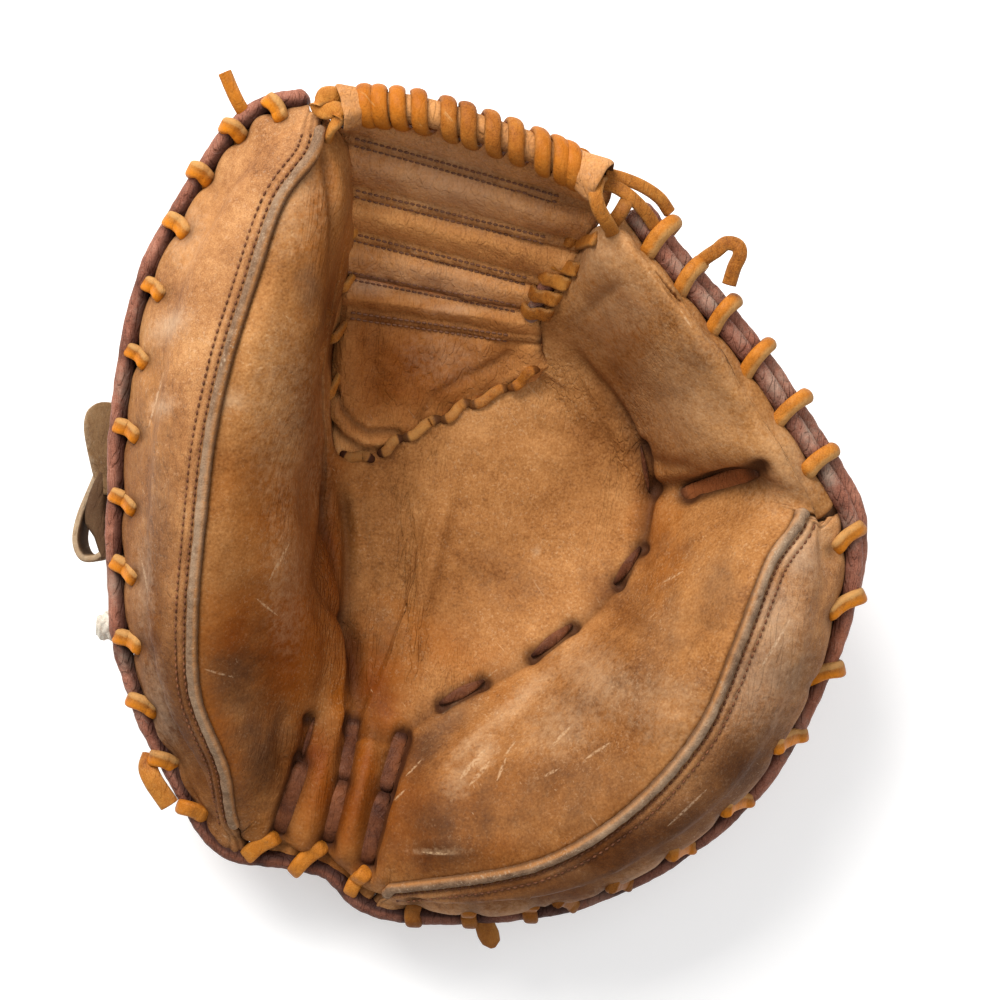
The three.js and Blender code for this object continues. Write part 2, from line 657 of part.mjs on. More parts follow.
function backGrid(from, to) {
  const outer = [];
  const inside = [];
  for (const row of rowsBetween(from, to, true)) {
    const { rim, inner } = section(row);
    const keel = Math.max(rail("keel", row).z, 0);
    const { length, find } = planLine(row);
    const scale = Math.min(length / backFull, 1);
    const landZ = rim.z - rimThick - fit - backThick;
    const edgeZ = Math.min(inner.z - innerThick - fit - backThick, landZ);
    const profile = backProfile.map((entry) => [
      entry.inward * scale,
      keel + (landZ - keel) * entry.height,
    ]);
    profile[0][0] = backEdge - backBindingAside(row);
    const flat = profile[profile.length - 1][0];
    for (const entry of backInner) {
      const inward = Math.max(length - entry.outward * scale, flat + scale);
      profile.push([inward, keel + (edgeZ - keel) * entry.height]);
    }
    const place = (inward, height, drop) => {
      const { across, point } = find(inward);
      return point.clone().setZ(Math.min(height, underHeight(row, across) - fit - drop));
    };
    outer.push(profile.map((entry) => place(...entry, backThick)));
    inside.push(profile.map((entry, i) => {
      const a = profile[Math.max(i - 1, 0)];
      const b = profile[Math.min(i + 1, profile.length - 1)];
      const run = Math.hypot(b[0] - a[0], b[1] - a[1]);
      const flatEnd = i === 0 || i === profile.length - 1;
      const lean = flatEnd ? 0 : (b[1] - a[1]) / run;
      const rise = flatEnd ? 1 : (b[0] - a[0]) / run;
      return place(entry[0] - lean * backThick, entry[1] + Math.max(rise, backRise) * backThick, 0);
    }));
  }
  return slab(inside, outer);
}
let thumbBack = backGrid(0, backSplit);
let fingerBack = backGrid(backSplit + backJoint, lastRow);

// Opening for the hand in the back at the heel corner of the thumb side
const openingRows = rowsBetween(wristFrom, wristTo);
const openingInner = openingRows.map((row) => {
  const { rim, inner } = section(row);
  return rim.clone().lerp(inner, wristDeep + wristWave * Math.sin((row - wristFrom) * wristTurn));
});
const openingOuter = openingRows.map((row) => {
  const { rim, out } = section(row);
  return rim.clone().addScaledVector(out, wristPast);
});
const openingTop = openingRows.map((row, i) => {
  const roof = section(row).rim.z;
  return [openingInner[i].clone().setZ(roof), openingOuter[i].clone().setZ(roof)];
});
const openingFloor = openingRows.map((row, i) => (
  [openingInner[i].clone().setZ(-1), openingOuter[i].clone().setZ(-1)]
));
thumbBack = thumbBack.subtract(slab(openingTop, openingFloor));

// Rolled bindings
function bindingLine(from, to, drop, aside) {
  return rowsBetween(from, to).map((row) => {
    const { rim, out } = section(row);
    return rim.clone().addScaledVector(out, bindingOut + aside(row)).setZ(rim.z - drop);
  });
}
const palmBinding = tube(bindingLine(0, lastRow, palmBindingDrop, () => 0), () => bindingRadius, 6);
const thumbBinding = tube(bindingLine(0, 7.4, backBindingDrop, () => 0), () => bindingRadius, 6);
const fingerBindingLine = bindingLine(13, lastRow, backBindingDrop, backBindingAside);
const fingerBinding = tube(fingerBindingLine, () => bindingRadius, 6);

// Height of the outside leather a given distance inside the rim
function landHeight(row, inward) {
  const { rim, out } = section(row);
  for (let across = 6; across > 2.5; across -= 0.05) {
    const point = topPoint(row, across);
    const distance = rim.clone().sub(point).setZ(0).dot(out);
    if (distance >= inward) return point.z;
  }
  return topPoint(row, 3).z;
}

// Whipped rim lace: one pass over the bindings and through the land for every pitch
const rimLengths = [0];
for (let i = 1; i <= lastRow * 20; i += 1) {
  const step = rail("rim", i / 20).distanceTo(rail("rim", (i - 1) / 20));
  rimLengths.push(rimLengths[i - 1] + step);
}
function rowAtLength(length) {
  const i = Math.max(1, rimLengths.findIndex((value) => value >= length));
  return (i - 1 + (length - rimLengths[i - 1]) / (rimLengths[i] - rimLengths[i - 1])) / 20;
}
function rimLace(from, to) {
  const start = rimLengths[Math.round(from * 20)];
  const total = rimLengths[Math.round(to * 20)] - start;
  const turns = Math.round(total / rimPitch);
  const path = [];
  const widths = [];
  for (let turn = 0; turn < turns; turn += 1) {
    const rowHere = rowAtLength(start + (total * (turn + 0.4)) / turns);
    const open = rowHere > wristFrom - 0.15 && rowHere < wristTo;
    const aside = backBindingAside(rowHere);
    for (const spot of laceRing) {
      const row = rowAtLength(start + (total * (turn + spot.advance)) / turns);
      const { rim, out } = section(row);
      const inward = open ? spot.openInward : spot.inward - aside * spot.shifts;
      const drop = open ? spot.openDrop : spot.drop;
      const point = rim.clone().addScaledVector(out, -inward).setZ(rim.z - drop);
      if (spot.at === "hole") {
        point.z = Math.max(point.z, landHeight(row, inward) + laceThick / 2 + laceProud);
      }
      path.push(point);
      widths.push(new THREE.Vector3(-out.y, out.x, 0));
    }
  }
  return { path, widths };
}
const rimLaces = rimRuns.map((run) => {
  const { path, widths } = rimLace(run.from, run.to);
  return {
    name: run.name,
    body: ribbon(path, widths, laceWide, laceThick),
    room: ribbon(path, widths, laceWide, laceThick, fit),
  };
});

// Dark laces woven through the palm
function targetOf(bodies) {
  const group = new THREE.Group();
  for (const body of bodies) {
    const mesh = body.getMesh();
    const shape = new THREE.BufferGeometry();
    shape.setAttribute("position", new THREE.BufferAttribute(mesh.vertProperties, 3));
    shape.setIndex(new THREE.BufferAttribute(mesh.triVerts, 1));
    group.add(new THREE.Mesh(shape, new THREE.MeshBasicMaterial({ side: THREE.DoubleSide })));
  }
  return group;
}
function heightOn(target, x, y) {
  const ray = new THREE.Raycaster(new THREE.Vector3(x, y, 300), new THREE.Vector3(0, 0, -1));
  const hits = ray.intersectObject(target);
  return hits.length > 0 ? hits[0].point.z : -Infinity;
}
const palmTarget = targetOf([palm]);
function wovenLace(stitches, wide) {
  const path = [];
  const widths = [];
  stitches.forEach((stitch) => {
    const a = new THREE.Vector2(...stitch.from);
    const b = new THREE.Vector2(...stitch.to);
    const along = b.clone().sub(a).normalize();
    const side = new THREE.Vector3(-along.y, along.x, 0);
    const put = (share, rise) => {
      const spot = a.clone().lerp(b, share);
      path.push(new THREE.Vector3(spot.x, spot.y, heightOn(palmTarget, spot.x, spot.y) + rise));
      widths.push(side);
    };
    const proud = laceThick / 2 + laceProud;
    put(-stitchEnd, -stitchDeep);
    put(0, proud - laceProud / 2);
    put(0.5, proud + stitchArch);
    put(1, proud - laceProud / 2);
    put(1 + stitchEnd, -stitchDeep);
  });
  return {
    body: ribbon(path, widths, wide, laceThick),
    room: ribbon(path, widths, wide, laceThick, fit),
  };
}
const pocketLace = wovenLace(pocketStitches, pocketLaceWide);
const heelLeftLace = wovenLace(heelLeftStitches, heelLaceWide);
const heelMiddleLace = wovenLace(heelMiddleStitches, heelLaceWide);
const heelRightLace = wovenLace(heelRightStitches, heelLaceWide);

// Web panels between the thumb pad and the finger pad
function webGrid(table, foot) {
  const top = [];
  const under = [];
  for (const row of table) {
    const a = new THREE.Vector3(...row.left);
    const b = new THREE.Vector3(...row.right);
    const line = [];
    for (let c = 0; c <= webCols; c += 1) {
      const share = c / webCols;
      const point = a.clone().lerp(b, share);
      const swell = 4 * share * (1 - share);
      point.y += row.bow * swell;
      point.z += (row.thick - 2.5) / 2 - webSag * swell;
      line.push(point);
    }
    top.push(line);
    under.push(line.map((point) => point.clone().setZ(point.z - row.thick)));
  }
  if (foot) {
    top.push(foot);
    under.push(foot.map((point) => point.clone().setZ(point.z - webFootThick)));
  }
  return slab(top, under);
}
const webFoot = [];
for (let c = 0; c <= webCols; c += 1) {
  const row = THREE.MathUtils.lerp(webFootFrom, webFootTo, c / webCols);
  const point = rail("inner", row);
  point.addScaledVector(outward(row, "inner"), -webFootGap);
  point.z -= webFootDrop;
  webFoot.push(point);
}
let upperPanel = webGrid(upperWeb, null);
let lowerPanel = webGrid(lowerWeb, webFoot);

// Bar and its wrapping
const barCurve = new THREE.CatmullRomCurve3(bar.map((row) => new THREE.Vector3(...row.centre)));
const barLine = bar.map((row) => new THREE.Vector3(...row.centre));
const webBar = tube(barLine, (i) => bar[i].radius, 10);
const wrapPath = [];
const wrapWidths = [];
for (let i = 0; i <= wrapTurns * wrapSteps; i += 1) {
  const share = THREE.MathUtils.lerp(wrapFrom, wrapTo, i / (wrapTurns * wrapSteps));
  const along = barCurve.getTangent(share);
  const side = new THREE.Vector3().crossVectors(along, up).normalize();
  const high = new THREE.Vector3().crossVectors(side, along);
  const turn = (2 * Math.PI * i) / wrapSteps;
  wrapPath.push(barCurve.getPoint(share)
    .addScaledVector(high, wrapReach * Math.cos(turn))
    .addScaledVector(side, wrapReach * Math.sin(turn)));
  wrapWidths.push(along);
}
const wrapLace = ribbon(wrapPath, wrapWidths, wrapWide, laceThick);
const wrapRoom = ribbon(wrapPath, wrapWidths, wrapWide, laceThick, fit);

// Rolled binding along the web edge of the finger pad
const innerRows = [25, 24.5, 24, 23.5, 23, 22.6];
function webward(row, distance, drop = 0) {
  const out = outward(row, "inner");
  const a = rail("inner", Math.max(row - 0.05, 0));
  const b = rail("inner", Math.min(row + 0.05, lastRow));
  const high = new THREE.Vector3().crossVectors(b.sub(a).normalize(), out).normalize();
  high.multiplyScalar(Math.sign(high.z));
  return rail("inner", row).addScaledVector(out, -distance).addScaledVector(high, -drop);
}
const fingerInnerLine = innerRows.map((row) => webward(row, innerBindingRadius + fit, innerBindingDrop));
const fingerInnerBinding = tube(fingerInnerLine, () => innerBindingRadius, 6);

// Laces joining the web to the pads on both sides
const targets = { palm: palmTarget, web: targetOf([upperPanel, lowerPanel]) };
function sideLace(fromRow, toRow, turns, ring) {
  const path = [];
  const widths = [];
  for (let turn = 0; turn < turns; turn += 1) {
    for (const spot of ring) {
      const row = THREE.MathUtils.lerp(fromRow, toRow, (turn + spot.advance) / turns);
      const point = webward(row, spot.web, spot.drop);
      const lift = laceThick / 2 + laceProud;
      if (spot.over) point.z = Math.max(point.z, heightOn(targets[spot.over], point.x, point.y) + lift);
      if (spot.below) {
        const top = heightOn(targets.web, point.x, point.y);
        point.z = Math.min(point.z, Number.isFinite(top) ? top - spot.below : point.z);
      }
      path.push(point);
      const a = rail("inner", Math.max(row - 0.05, 0));
      widths.push(rail("inner", Math.min(row + 0.05, lastRow)).sub(a));
    }
  }
  return {
    body: ribbon(path, widths, sideLaceWide, laceThick),
    room: ribbon(path, widths, sideLaceWide, laceThick, sideLaceRoom),
  };
}
const fingerWebLace = sideLace(24.8, 22.9, 4, fingerWebRing);
const thumbWebLace = sideLace(0.75, 4.85, 6, thumbWebRing);

// Lace along the joint of the web and the palm
const baseRise = laceThick / 2 + laceProud + baseLaceRise;
const basePath = baseLine.map((spot) => webward(spot.row, -spot.inward, -baseRise));
const baseWays = baseLine.map((spot) => outward(spot.row, "inner"));
const baseLace = ribbon(basePath, baseWays, baseLaceWide, laceThick);

// Wrist strap, suede tab and fleece
const strapPath = strapLine.map((row) => new THREE.Vector3(...row.centre));
const strapWays = strapLine.map((row) => new THREE.Vector3(...row.wide));
const wristStrap = ribbon(strapPath, strapWays, strapWide, strapThick);
const strapTab = sweep(
  tabLine.map((row) => new THREE.Vector3(...row.centre)),
  tabLine.map(() => new THREE.Vector3(...tabFace)),
  (i) => {
    const a = tabLine[i].half;
    const b = tabThick / 2;
    return [[-a, -b], [a, -b], [a, b], [-a, b]];
  },
);
const fleece = sweep(
  fleeceLine.map((row) => new THREE.Vector3(...row.centre)),
  fleeceLine.map(() => new THREE.Vector3(...fleeceWay)),
  (i) => {
    const ring = [];
    for (let s = 0; s < fleeceSides; s += 1) {
      const turn = (2 * Math.PI * s) / fleeceSides;
      ring.push([fleeceLine[i].wide * Math.cos(turn), fleeceLine[i].deep * Math.sin(turn)]);
    }
    return ring;
  },
);

// Loose laces
const looseBodies = looseLaces.map((lace) => {
  const knots = new THREE.CatmullRomCurve3(lace.line.map((spot) => new THREE.Vector3(...spot)));
  const path = knots.getPoints((lace.line.length - 1) * looseSteps);
  const widths = path.map(() => new THREE.Vector3(...lace.face));
  return {
    name: lace.name,
    body: ribbon(path, widths, lace.wide, laceThick),
    room: ribbon(path, widths, lace.wide, laceThick, fit),
  };
});

const brown = (hue, roughness) => new THREE.MeshStandardMaterial({ color: hue, roughness, metalness: 0 });
const made = new THREE.Group();
function keep(name, body, hue, roughness = 0.75) {
  const mesh = body.getMesh();
  const shape = new THREE.BufferGeometry();
  shape.setAttribute("position", new THREE.BufferAttribute(mesh.vertProperties, 3));
  shape.setIndex(new THREE.BufferAttribute(mesh.triVerts, 1));
  const piece = new THREE.Mesh(shape, brown(hue, roughness));
  piece.name = name;
  made.add(piece);
}

const thumbWelt = tube(thumbWeltLine, () => weltRadius, 6);
const fingerWelt = tube(fingerWeltLine, () => weltRadius, 6);
for (const span of weltSeats) {
  const groove = tube(weltLine(span.from, span.to), () => weltRadius + fit, 6);
  palm = palm.subtract(groove);
  thumbSide = thumbSide.subtract(groove);
  fingerSide = fingerSide.subtract(groove);
}
for (const lace of [pocketLace, heelLeftLace, heelMiddleLace, heelRightLace]) {
  palm = palm.subtract(lace.room);
}
for (const lace of rimLaces) {
  palm = palm.subtract(lace.room);
  thumbSide = thumbSide.subtract(lace.room);
  fingerSide = fingerSide.subtract(lace.room);
  thumbBack = thumbBack.subtract(lace.room);
  fingerBack = fingerBack.subtract(lace.room);
}
upperPanel = upperPanel.subtract(wrapRoom);
for (const lace of [fingerWebLace, thumbWebLace]) {
  palm = palm.subtract(lace.room);
  thumbBack = thumbBack.subtract(lace.room);
  fingerBack = fingerBack.subtract(lace.room);
  upperPanel = upperPanel.subtract(lace.room);
  lowerPanel = lowerPanel.subtract(lace.room);
}
const strapRoom = ribbon(strapPath, strapWays, strapWide, strapThick, fit);
thumbBack = thumbBack.subtract(strapRoom);
fingerBack = fingerBack.subtract(strapRoom);
for (const lace of looseBodies) {
  palm = palm.subtract(lace.room);
  thumbSide = thumbSide.subtract(lace.room);
}

keep("palm_pad", palm, hueTan);
keep("thumb_side_panel", thumbSide, hueSide);
keep("finger_side_panel", fingerSide, hueSide);
keep("thumb_welt", thumbWelt, hueWelt);
keep("finger_welt", fingerWelt, hueWelt);
keep("rim_binding_palm", palmBinding, hueBinding);
keep("rim_binding_thumb_back", thumbBinding, hueBinding);
keep("rim_binding_finger_back", fingerBinding, hueBinding);
keep("thumb_back", thumbBack, hueBack);
keep("finger_back", fingerBack, hueBack);
for (const lace of rimLaces) keep(lace.name, lace.body, hueRawhide);
keep("pocket_lace", pocketLace.body, hueDarkLace);
keep("heel_lace_left", heelLeftLace.body, hueDarkLace);
keep("heel_lace_middle", heelMiddleLace.body, hueDarkLace);
keep("heel_lace_right", heelRightLace.body, hueDarkLace);
keep("web_bar", webBar, hueWeb);
keep("web_upper_panel", upperPanel, hueWeb);
keep("web_lower_panel", lowerPanel, hueWeb);
keep("web_wrap_lace", wrapLace, hueRawhide);
keep("finger_inner_binding", fingerInnerBinding, hueBinding);
keep("web_finger_lace", fingerWebLace.body, hueRawhide);
keep("web_thumb_lace", thumbWebLace.body, hueRawhide);
keep("web_base_lace", baseLace, hueRawhide);
keep("wrist_strap", wristStrap, hueSuede);
keep("strap_tab", strapTab, hueSuede);
keep("fleece_lining", fleece, hueFleece, 0.95);
for (const lace of looseBodies) keep(lace.name, lace.body, hueRawhide);

export default made;
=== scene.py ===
import math

import bpy
import numpy as np
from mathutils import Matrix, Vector
from mathutils.bvhtree import BVHTree


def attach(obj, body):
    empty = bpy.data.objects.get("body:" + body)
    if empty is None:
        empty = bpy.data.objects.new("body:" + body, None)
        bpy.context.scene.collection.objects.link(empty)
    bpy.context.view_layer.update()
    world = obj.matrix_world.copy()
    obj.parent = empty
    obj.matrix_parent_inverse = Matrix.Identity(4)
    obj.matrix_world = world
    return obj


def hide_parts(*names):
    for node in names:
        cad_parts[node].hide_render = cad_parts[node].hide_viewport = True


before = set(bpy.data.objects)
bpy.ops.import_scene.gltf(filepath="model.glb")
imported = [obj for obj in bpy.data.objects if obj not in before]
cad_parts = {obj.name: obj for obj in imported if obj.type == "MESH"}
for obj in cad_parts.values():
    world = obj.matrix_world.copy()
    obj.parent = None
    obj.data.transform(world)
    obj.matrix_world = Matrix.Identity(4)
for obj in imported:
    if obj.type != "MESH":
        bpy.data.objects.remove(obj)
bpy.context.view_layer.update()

# Worn catching mitt, palm up on its back. Lengths are millimetres here and become metres in a mesh.
# X runs from the thumb side to the finger side, Y from the heel to the web, Z up.
mm = 0.001
camera = {"place": (7, 7, 800), "lens": 81.8}

# Sections from the web edge over the palm to the rim: inner, foot, crown, seam, rim, keel height
sections = [
    ((-43.5, 123, 84), (-43.5, 123.5, 90), (-45, 124.5, 97), (-47.5, 125.5, 102), (-52, 128.5, 98), 62),
    ((-39.5, 114.5, 80), (-39.5, 114.5, 87), (-42, 114.5, 97), (-50, 113, 105), (-68.5, 125, 93), 50),
    ((-40, 99, 68), (-41, 98.5, 76), (-44.5, 97, 99), (-60.5, 97.5, 107), (-86.5, 105, 83), 38),
    ((-44, 75.5, 56), (-44.5, 75.5, 66), (-50.5, 74, 98), (-69, 72.5, 107), (-102.5, 78.5, 76), 24),
    ((-49, 51.5, 47), (-50.5, 51.5, 56), (-56, 49.5, 96), (-76.5, 49, 106), (-109.5, 50.5, 70), 12),
    ((-48.5, 24, 38), (-50.5, 25, 43), (-60.5, 25, 88), (-82, 25, 103), (-113.5, 25, 65), 4),
    ((-38, 22, 33), (-51, 1, 37), (-64, -1, 83), (-85.5, -1.5, 99), (-115, -3, 61), 0),
    ((-27.5, 28.5, 32), (-45.5, -24, 35), (-64.5, -26.5, 74), (-88.5, -28, 93), (-114.5, -32, 57), 0),
    ((-18.5, 32.5, 32), (-43, -45, 35), (-64, -51.5, 62), (-89, -54.5, 83), (-109.5, -57, 52), 0),
    ((-12.5, 35.5, 32), (-43.5, -60, 36), (-62, -70.5, 52), (-82, -79, 69), (-99, -80, 47), 0),
    ((-8, 37.5, 32), (-45, -68.5, 37), (-60, -83, 48), (-79, -102.5, 50), (-84.5, -105.5, 43), 0),
    ((-6, 39, 32), (-42.5, -72, 38), (-53.5, -89, 46), (-61, -105.5, 45), (-64, -110, 40), 0),
    ((-4, 40, 32), (-37.5, -72, 38), (-44, -92.5, 46), (-49, -109.5, 44), (-49, -115, 38), 0),
    ((-2, 41, 32), (-29, -72.5, 39), (-34.5, -100.5, 47), (-36, -120.5, 46), (-37, -126, 37), 0),
    ((1, 42, 32), (-18, -64.5, 39), (-18, -92.5, 58), (-18, -118.5, 58), (-18, -129, 39), 0),
    ((3.5, 43.5, 32), (-1.5, -56, 38), (9.5, -82.5, 62), (19, -109.5, 74), (22, -126, 43), 0),
    ((7, 44.5, 32), (19, -45, 36), (33.5, -69, 70), (46.5, -92, 84), (56.5, -112, 48), 0),
    ((10.5, 46, 32), (37.5, -30, 34), (53.5, -46.5, 74), (69, -66, 91), (86, -88, 54), 0),
    ((14, 47.5, 32), (49, -16.5, 34), (65.5, -25, 72), (81.5, -37, 93), (105.5, -56.5, 61), 0),
    ((16.5, 48.5, 32), (55, -1.5, 34), (73.5, -6, 64), (91.5, -12.5, 89), (116, -25, 68), 0),
    ((18.5, 49.5, 32), (57.5, 10.5, 34), (79.5, 9.5, 58), (102, 2.5, 80), (116, -2.5, 73), 4),
    ((19.5, 51.5, 35), (55, 22, 37), (76.5, 23.5, 78), (95, 18, 86), (108, 13.5, 77), 12),
    ((20, 55.5, 38), (46.5, 37, 40), (66.5, 46.5, 86), (77.5, 44.5, 94), (89.5, 41, 83), 22),
    ((20.5, 61, 44), (35, 55, 47), (53, 66.5, 96), (63.5, 64, 101), (73.5, 60.5, 88), 36),
    ((22, 70.5, 58), (27.5, 70, 64), (43, 80.5, 99), (51.5, 79.5, 103), (58.5, 77.5, 93), 50),
    ((35, 90, 78), (35, 90, 87), (38, 92, 96), (41.5, 92.5, 100), (44.5, 94, 98), 64),
]
railNames = ("inner", "foot", "crown", "seam", "rim")
lastRow = len(sections) - 1
railPoints = {name: np.array([row[i] for row in sections], float) for i, name in enumerate(railNames)}
keelHeights = np.array([[row[5]] for row in sections], float)

form = {  # thicknesses of the pads and the shape of the side walls
    "rimThick": 3.5, "innerThick": 7, "footThick": 9, "crownLeast": 10, "seamLeast": 8, "tipThinFrom": 22.5,
    "landWide": 7, "landRise": 0.5, "landShare": 0.45, "wallBulge": 0.18, "backThick": 3, "gap": 0.35,
}
palmEdge = ((0, 10, 10.5, 13, 13.5, 20, 20.5, 25), (3, 3, 6, 6, 3, 3, 6, 6))


def smoothstep(low, high, x):
    t = np.clip((np.asarray(x, float) - low) / (high - low), 0, 1)
    return t * t * (3 - 2 * t)


# Rises from a to b, stays 1 and falls from c to d
def within(x, a, b, c, d):
    return smoothstep(a, b, x) * smoothstep(d, c, x)


# A soft peak of 1 at 0, flatter at the top for a higher power
def peak(distance, wide, power=2):
    return np.exp(-((distance / wide) ** power))


def unit(v):
    return v / np.maximum(np.linalg.norm(v, axis=-1, keepdims=True), 1e-9)


# Smooth line through evenly counted points; places run from 0 to the last point
def catmull(points, places):
    points = np.asarray(points, float)
    places = np.clip(np.asarray(places, float), 0, len(points) - 1)
    padded = np.concatenate([2 * points[:1] - points[1:2], points, 2 * points[-1:] - points[-2:-1]])
    low = np.minimum(places.astype(int), len(points) - 2)
    t = (places - low).reshape(places.shape + (1,) * (points.ndim - 1))
    a, b, c, d = (padded[low + k] for k in range(4))
    return 0.5 * (2 * b + (c - a) * t + (2 * a - 5 * b + 4 * c - d) * t**2 + (3 * b - a - 3 * c + d) * t**3)


def smoothLine(points, count):
    return catmull(points, np.linspace(0, len(points) - 1, count))


# The same across a section, with the pull of each point set by its distance
def chordal(points, places):
    rows = np.arange(len(points))
    first = 2 * points[:, :1] - points[:, 1:2]
    last = 2 * points[:, -1:] - points[:, -2:-1]
    padded = np.concatenate([first, points, last], axis=1)
    low = np.clip(places.astype(int), 0, points.shape[1] - 2)
    w = (places - low)[..., None]
    a, b, c, d = (padded[rows, low + k] for k in range(4))
    far = lambda p, q: np.linalg.norm(q - p, axis=-1, keepdims=True)
    mid = np.where(far(b, c) < 1e-4, 1, far(b, c))
    before = np.where(far(a, b) < 1e-4, mid, far(a, b))
    after = np.where(far(c, d) < 1e-4, mid, far(c, d))
    m = ((b - a) / before - (c - a) / (before + mid) + (c - b) / mid) * mid
    n = ((c - b) / mid - (d - b) / (mid + after) + (d - c) / after) * mid
    return b + m * w + (3 * c - 3 * b - 2 * m - n) * w**2 + (2 * b - 2 * c + m + n) * w**3


def rail(name, rows):
    return catmull(railPoints[name], rows)


def outward(rows, name="rim"):
    a = rail(name, np.maximum(np.asarray(rows, float) - 0.05, 0))
    b = rail(name, np.minimum(np.asarray(rows, float) + 0.05, lastRow))
    return unit(np.stack([b[..., 1] - a[..., 1], a[..., 0] - b[..., 0], np.zeros(a.shape[:-1])], axis=-1))


# The seven points of each section and the heights of its underside
def sectionAt(rows):
    rows = np.atleast_1d(np.asarray(rows, float))
    inner, foot, crown, seam, rim = (rail(name, rows) for name in railNames)
    out = outward(rows)
    reach = np.hypot(*(rim - seam)[:, :2].T)
    land = rim - out * np.minimum(form["landWide"], form["landShare"] * reach)[:, None]
    land[:, 2] += form["landRise"]
    swell = form["wallBulge"] * np.linalg.norm(land - seam, axis=1)
    wall = (seam + land) / 2 + out * 0.6 * swell[:, None]
    wall[:, 2] += 0.8 * swell
    underRim = rim[:, 2] - form["rimThick"]
    underSeam = np.minimum(underRim, seam[:, 2] - form["seamLeast"])
    underFoot = foot[:, 2] - form["footThick"]
    thin = np.clip(np.maximum(1 - rows, rows - form["tipThinFrom"]), 0, 1)
    underCrown = np.minimum(underFoot + (underSeam - underFoot) * (0.5 + 0.4 * thin), crown[:, 2] - form["crownLeast"])
    under = np.stack([inner[:, 2] - form["innerThick"], underFoot, underCrown, underSeam,
                      underRim, underRim, underRim], axis=1)
    return np.stack([inner, foot, crown, seam, wall, land, rim], axis=1), under


def topPoints(rows, across):
    return chordal(sectionAt(rows)[0], across)


def underHeights(rows, across):
    under = sectionAt(rows)[1]
    low = np.clip(across.astype(int), 0, 5)
    ids = np.arange(len(under))
    return under[ids, low] + (under[ids, low + 1] - under[ids, low]) * (across - low)


# Top and underside of a panel, column by column
def panelGrid(rows, across):
    columns = range(across.shape[1])
    return (np.stack([topPoints(rows, across[:, k]) for k in columns], axis=1),
            np.stack([underHeights(rows, across[:, k]) for k in columns], axis=1))


# Soft unevenness from a few crossed waves, about -1 to 1
def lumps(points, size, seed, count=7):
    draw = np.random.default_rng(seed)
    total = np.zeros(points.shape[:-1])
    for k in range(count):
        way = unit(draw.normal(size=3))
        total += np.sin(points @ way * (2 * math.pi / size) * draw.uniform(0.6, 1.5) + draw.uniform(0, 6.28))
    return total / math.sqrt(count)


# Distance to a drawn line, the nearest place along it and its whole length
def lineDistance(points, line):
    line = np.asarray(line, float)
    best = np.full(points.shape[:-1], 1e9)
    place = np.zeros(points.shape[:-1])
    start = runLength(line)
    for i in range(len(line) - 1):
        way = line[i + 1] - line[i]
        t = np.clip(((points - line[i]) @ way) / (way @ way), 0, 1)
        d = np.linalg.norm(points - line[i] - t[..., None] * way, axis=-1)
        near = d < best
        best = np.where(near, d, best)
        place = np.where(near, start[i] + t * (start[i + 1] - start[i]), place)
    return best, place, start[-1]


# Length run along a path up to each of its points
def runLength(path):
    return np.concatenate([[0], np.cumsum(np.linalg.norm(np.diff(path, axis=0), axis=1))])


def spotMask(points, spots):
    total = np.zeros(points.shape[:-1])
    for x, y, wide, high, turn, value in spots:
        c, s = math.cos(math.radians(turn)), math.sin(math.radians(turn))
        dx, dy = points[..., 0] - x, points[..., 1] - y
        a, b = (dx * c + dy * s) / wide, (dy * c - dx * s) / high
        total = np.maximum(total, value * np.exp(-(a * a + b * b)))
    return np.clip(total, 0, 1)


# Normals of a grid, all on its upper side
def upNormals(grid):
    away = unit(np.cross(np.gradient(grid, axis=1), np.gradient(grid, axis=0)))
    return away * np.sign(away[..., 2:3] + 1e-6)


# How far a rounded edge drops, 1 at the edge and 0 where its reach ends
def edgeDrop(gap, reach):
    roll = np.clip(1 - gap / reach, 0, 1)
    return 1 - np.sqrt(np.clip(1 - roll**2, 0, 1))


# Mesh making
def newPiece(name, points, faces, material, masks):
    points = np.asarray(points, float)
    a, b, c, d = points[np.array([face[:4] for face in faces])].transpose(1, 0, 2)
    if np.sum(a * (np.cross(b, c) + np.cross(c, d))) < 0:
        faces = [tuple(reversed(face)) for face in faces]
    mesh = bpy.data.meshes.new(name)
    mesh.from_pydata((points * mm).tolist(), [], faces)
    mesh.materials.append(material)
    for key, values in masks.items():
        full = np.zeros(len(points), np.float32)
        full[: len(values)] = values
        mesh.attributes.new(key, "FLOAT", "POINT").data.foreach_set("value", full)
    mesh.polygons.foreach_set("use_smooth", [True] * len(mesh.polygons))
    mesh.update()
    piece = bpy.data.objects.new(name, mesh)
    bpy.context.scene.collection.objects.link(piece)
    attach(piece, "root")
    return piece


def ring(rows, cols):
    return ([(0, c) for c in range(cols)] + [(r, cols - 1) for r in range(1, rows)]
            + [(rows - 1, c) for c in range(cols - 2, -1, -1)] + [(r, 0) for r in range(rows - 2, 0, -1)])


# Closed sheet: a fine top, a coarser underside and a rim between them
def sheetFaces(rows, cols, step):
    lowRows, lowCols = (rows - 1) // step + 1, (cols - 1) // step + 1
    base = rows * cols
    faces = []
    for high, wide, first, order in ((rows, cols, 0, (0, 1, 3, 2)), (lowRows, lowCols, base, (0, 2, 3, 1))):
        r, c = np.meshgrid(np.arange(high - 1), np.arange(wide - 1), indexing="ij")
        a = (first + r * wide + c).ravel()
        faces += np.stack([a, a + 1, a + wide, a + wide + 1], axis=1)[:, order].tolist()
    top = [i * cols + j for i, j in ring(rows, cols)]
    low = [base + i * lowCols + j for i, j in ring(lowRows, lowCols)]
    for k in range(len(low)):
        upper = [top[(k * step + s) % len(top)] for s in range(step + 1)]
        faces.append(upper[::-1] + [low[k], low[(k + 1) % len(low)]])
    return [tuple(face) for face in faces]


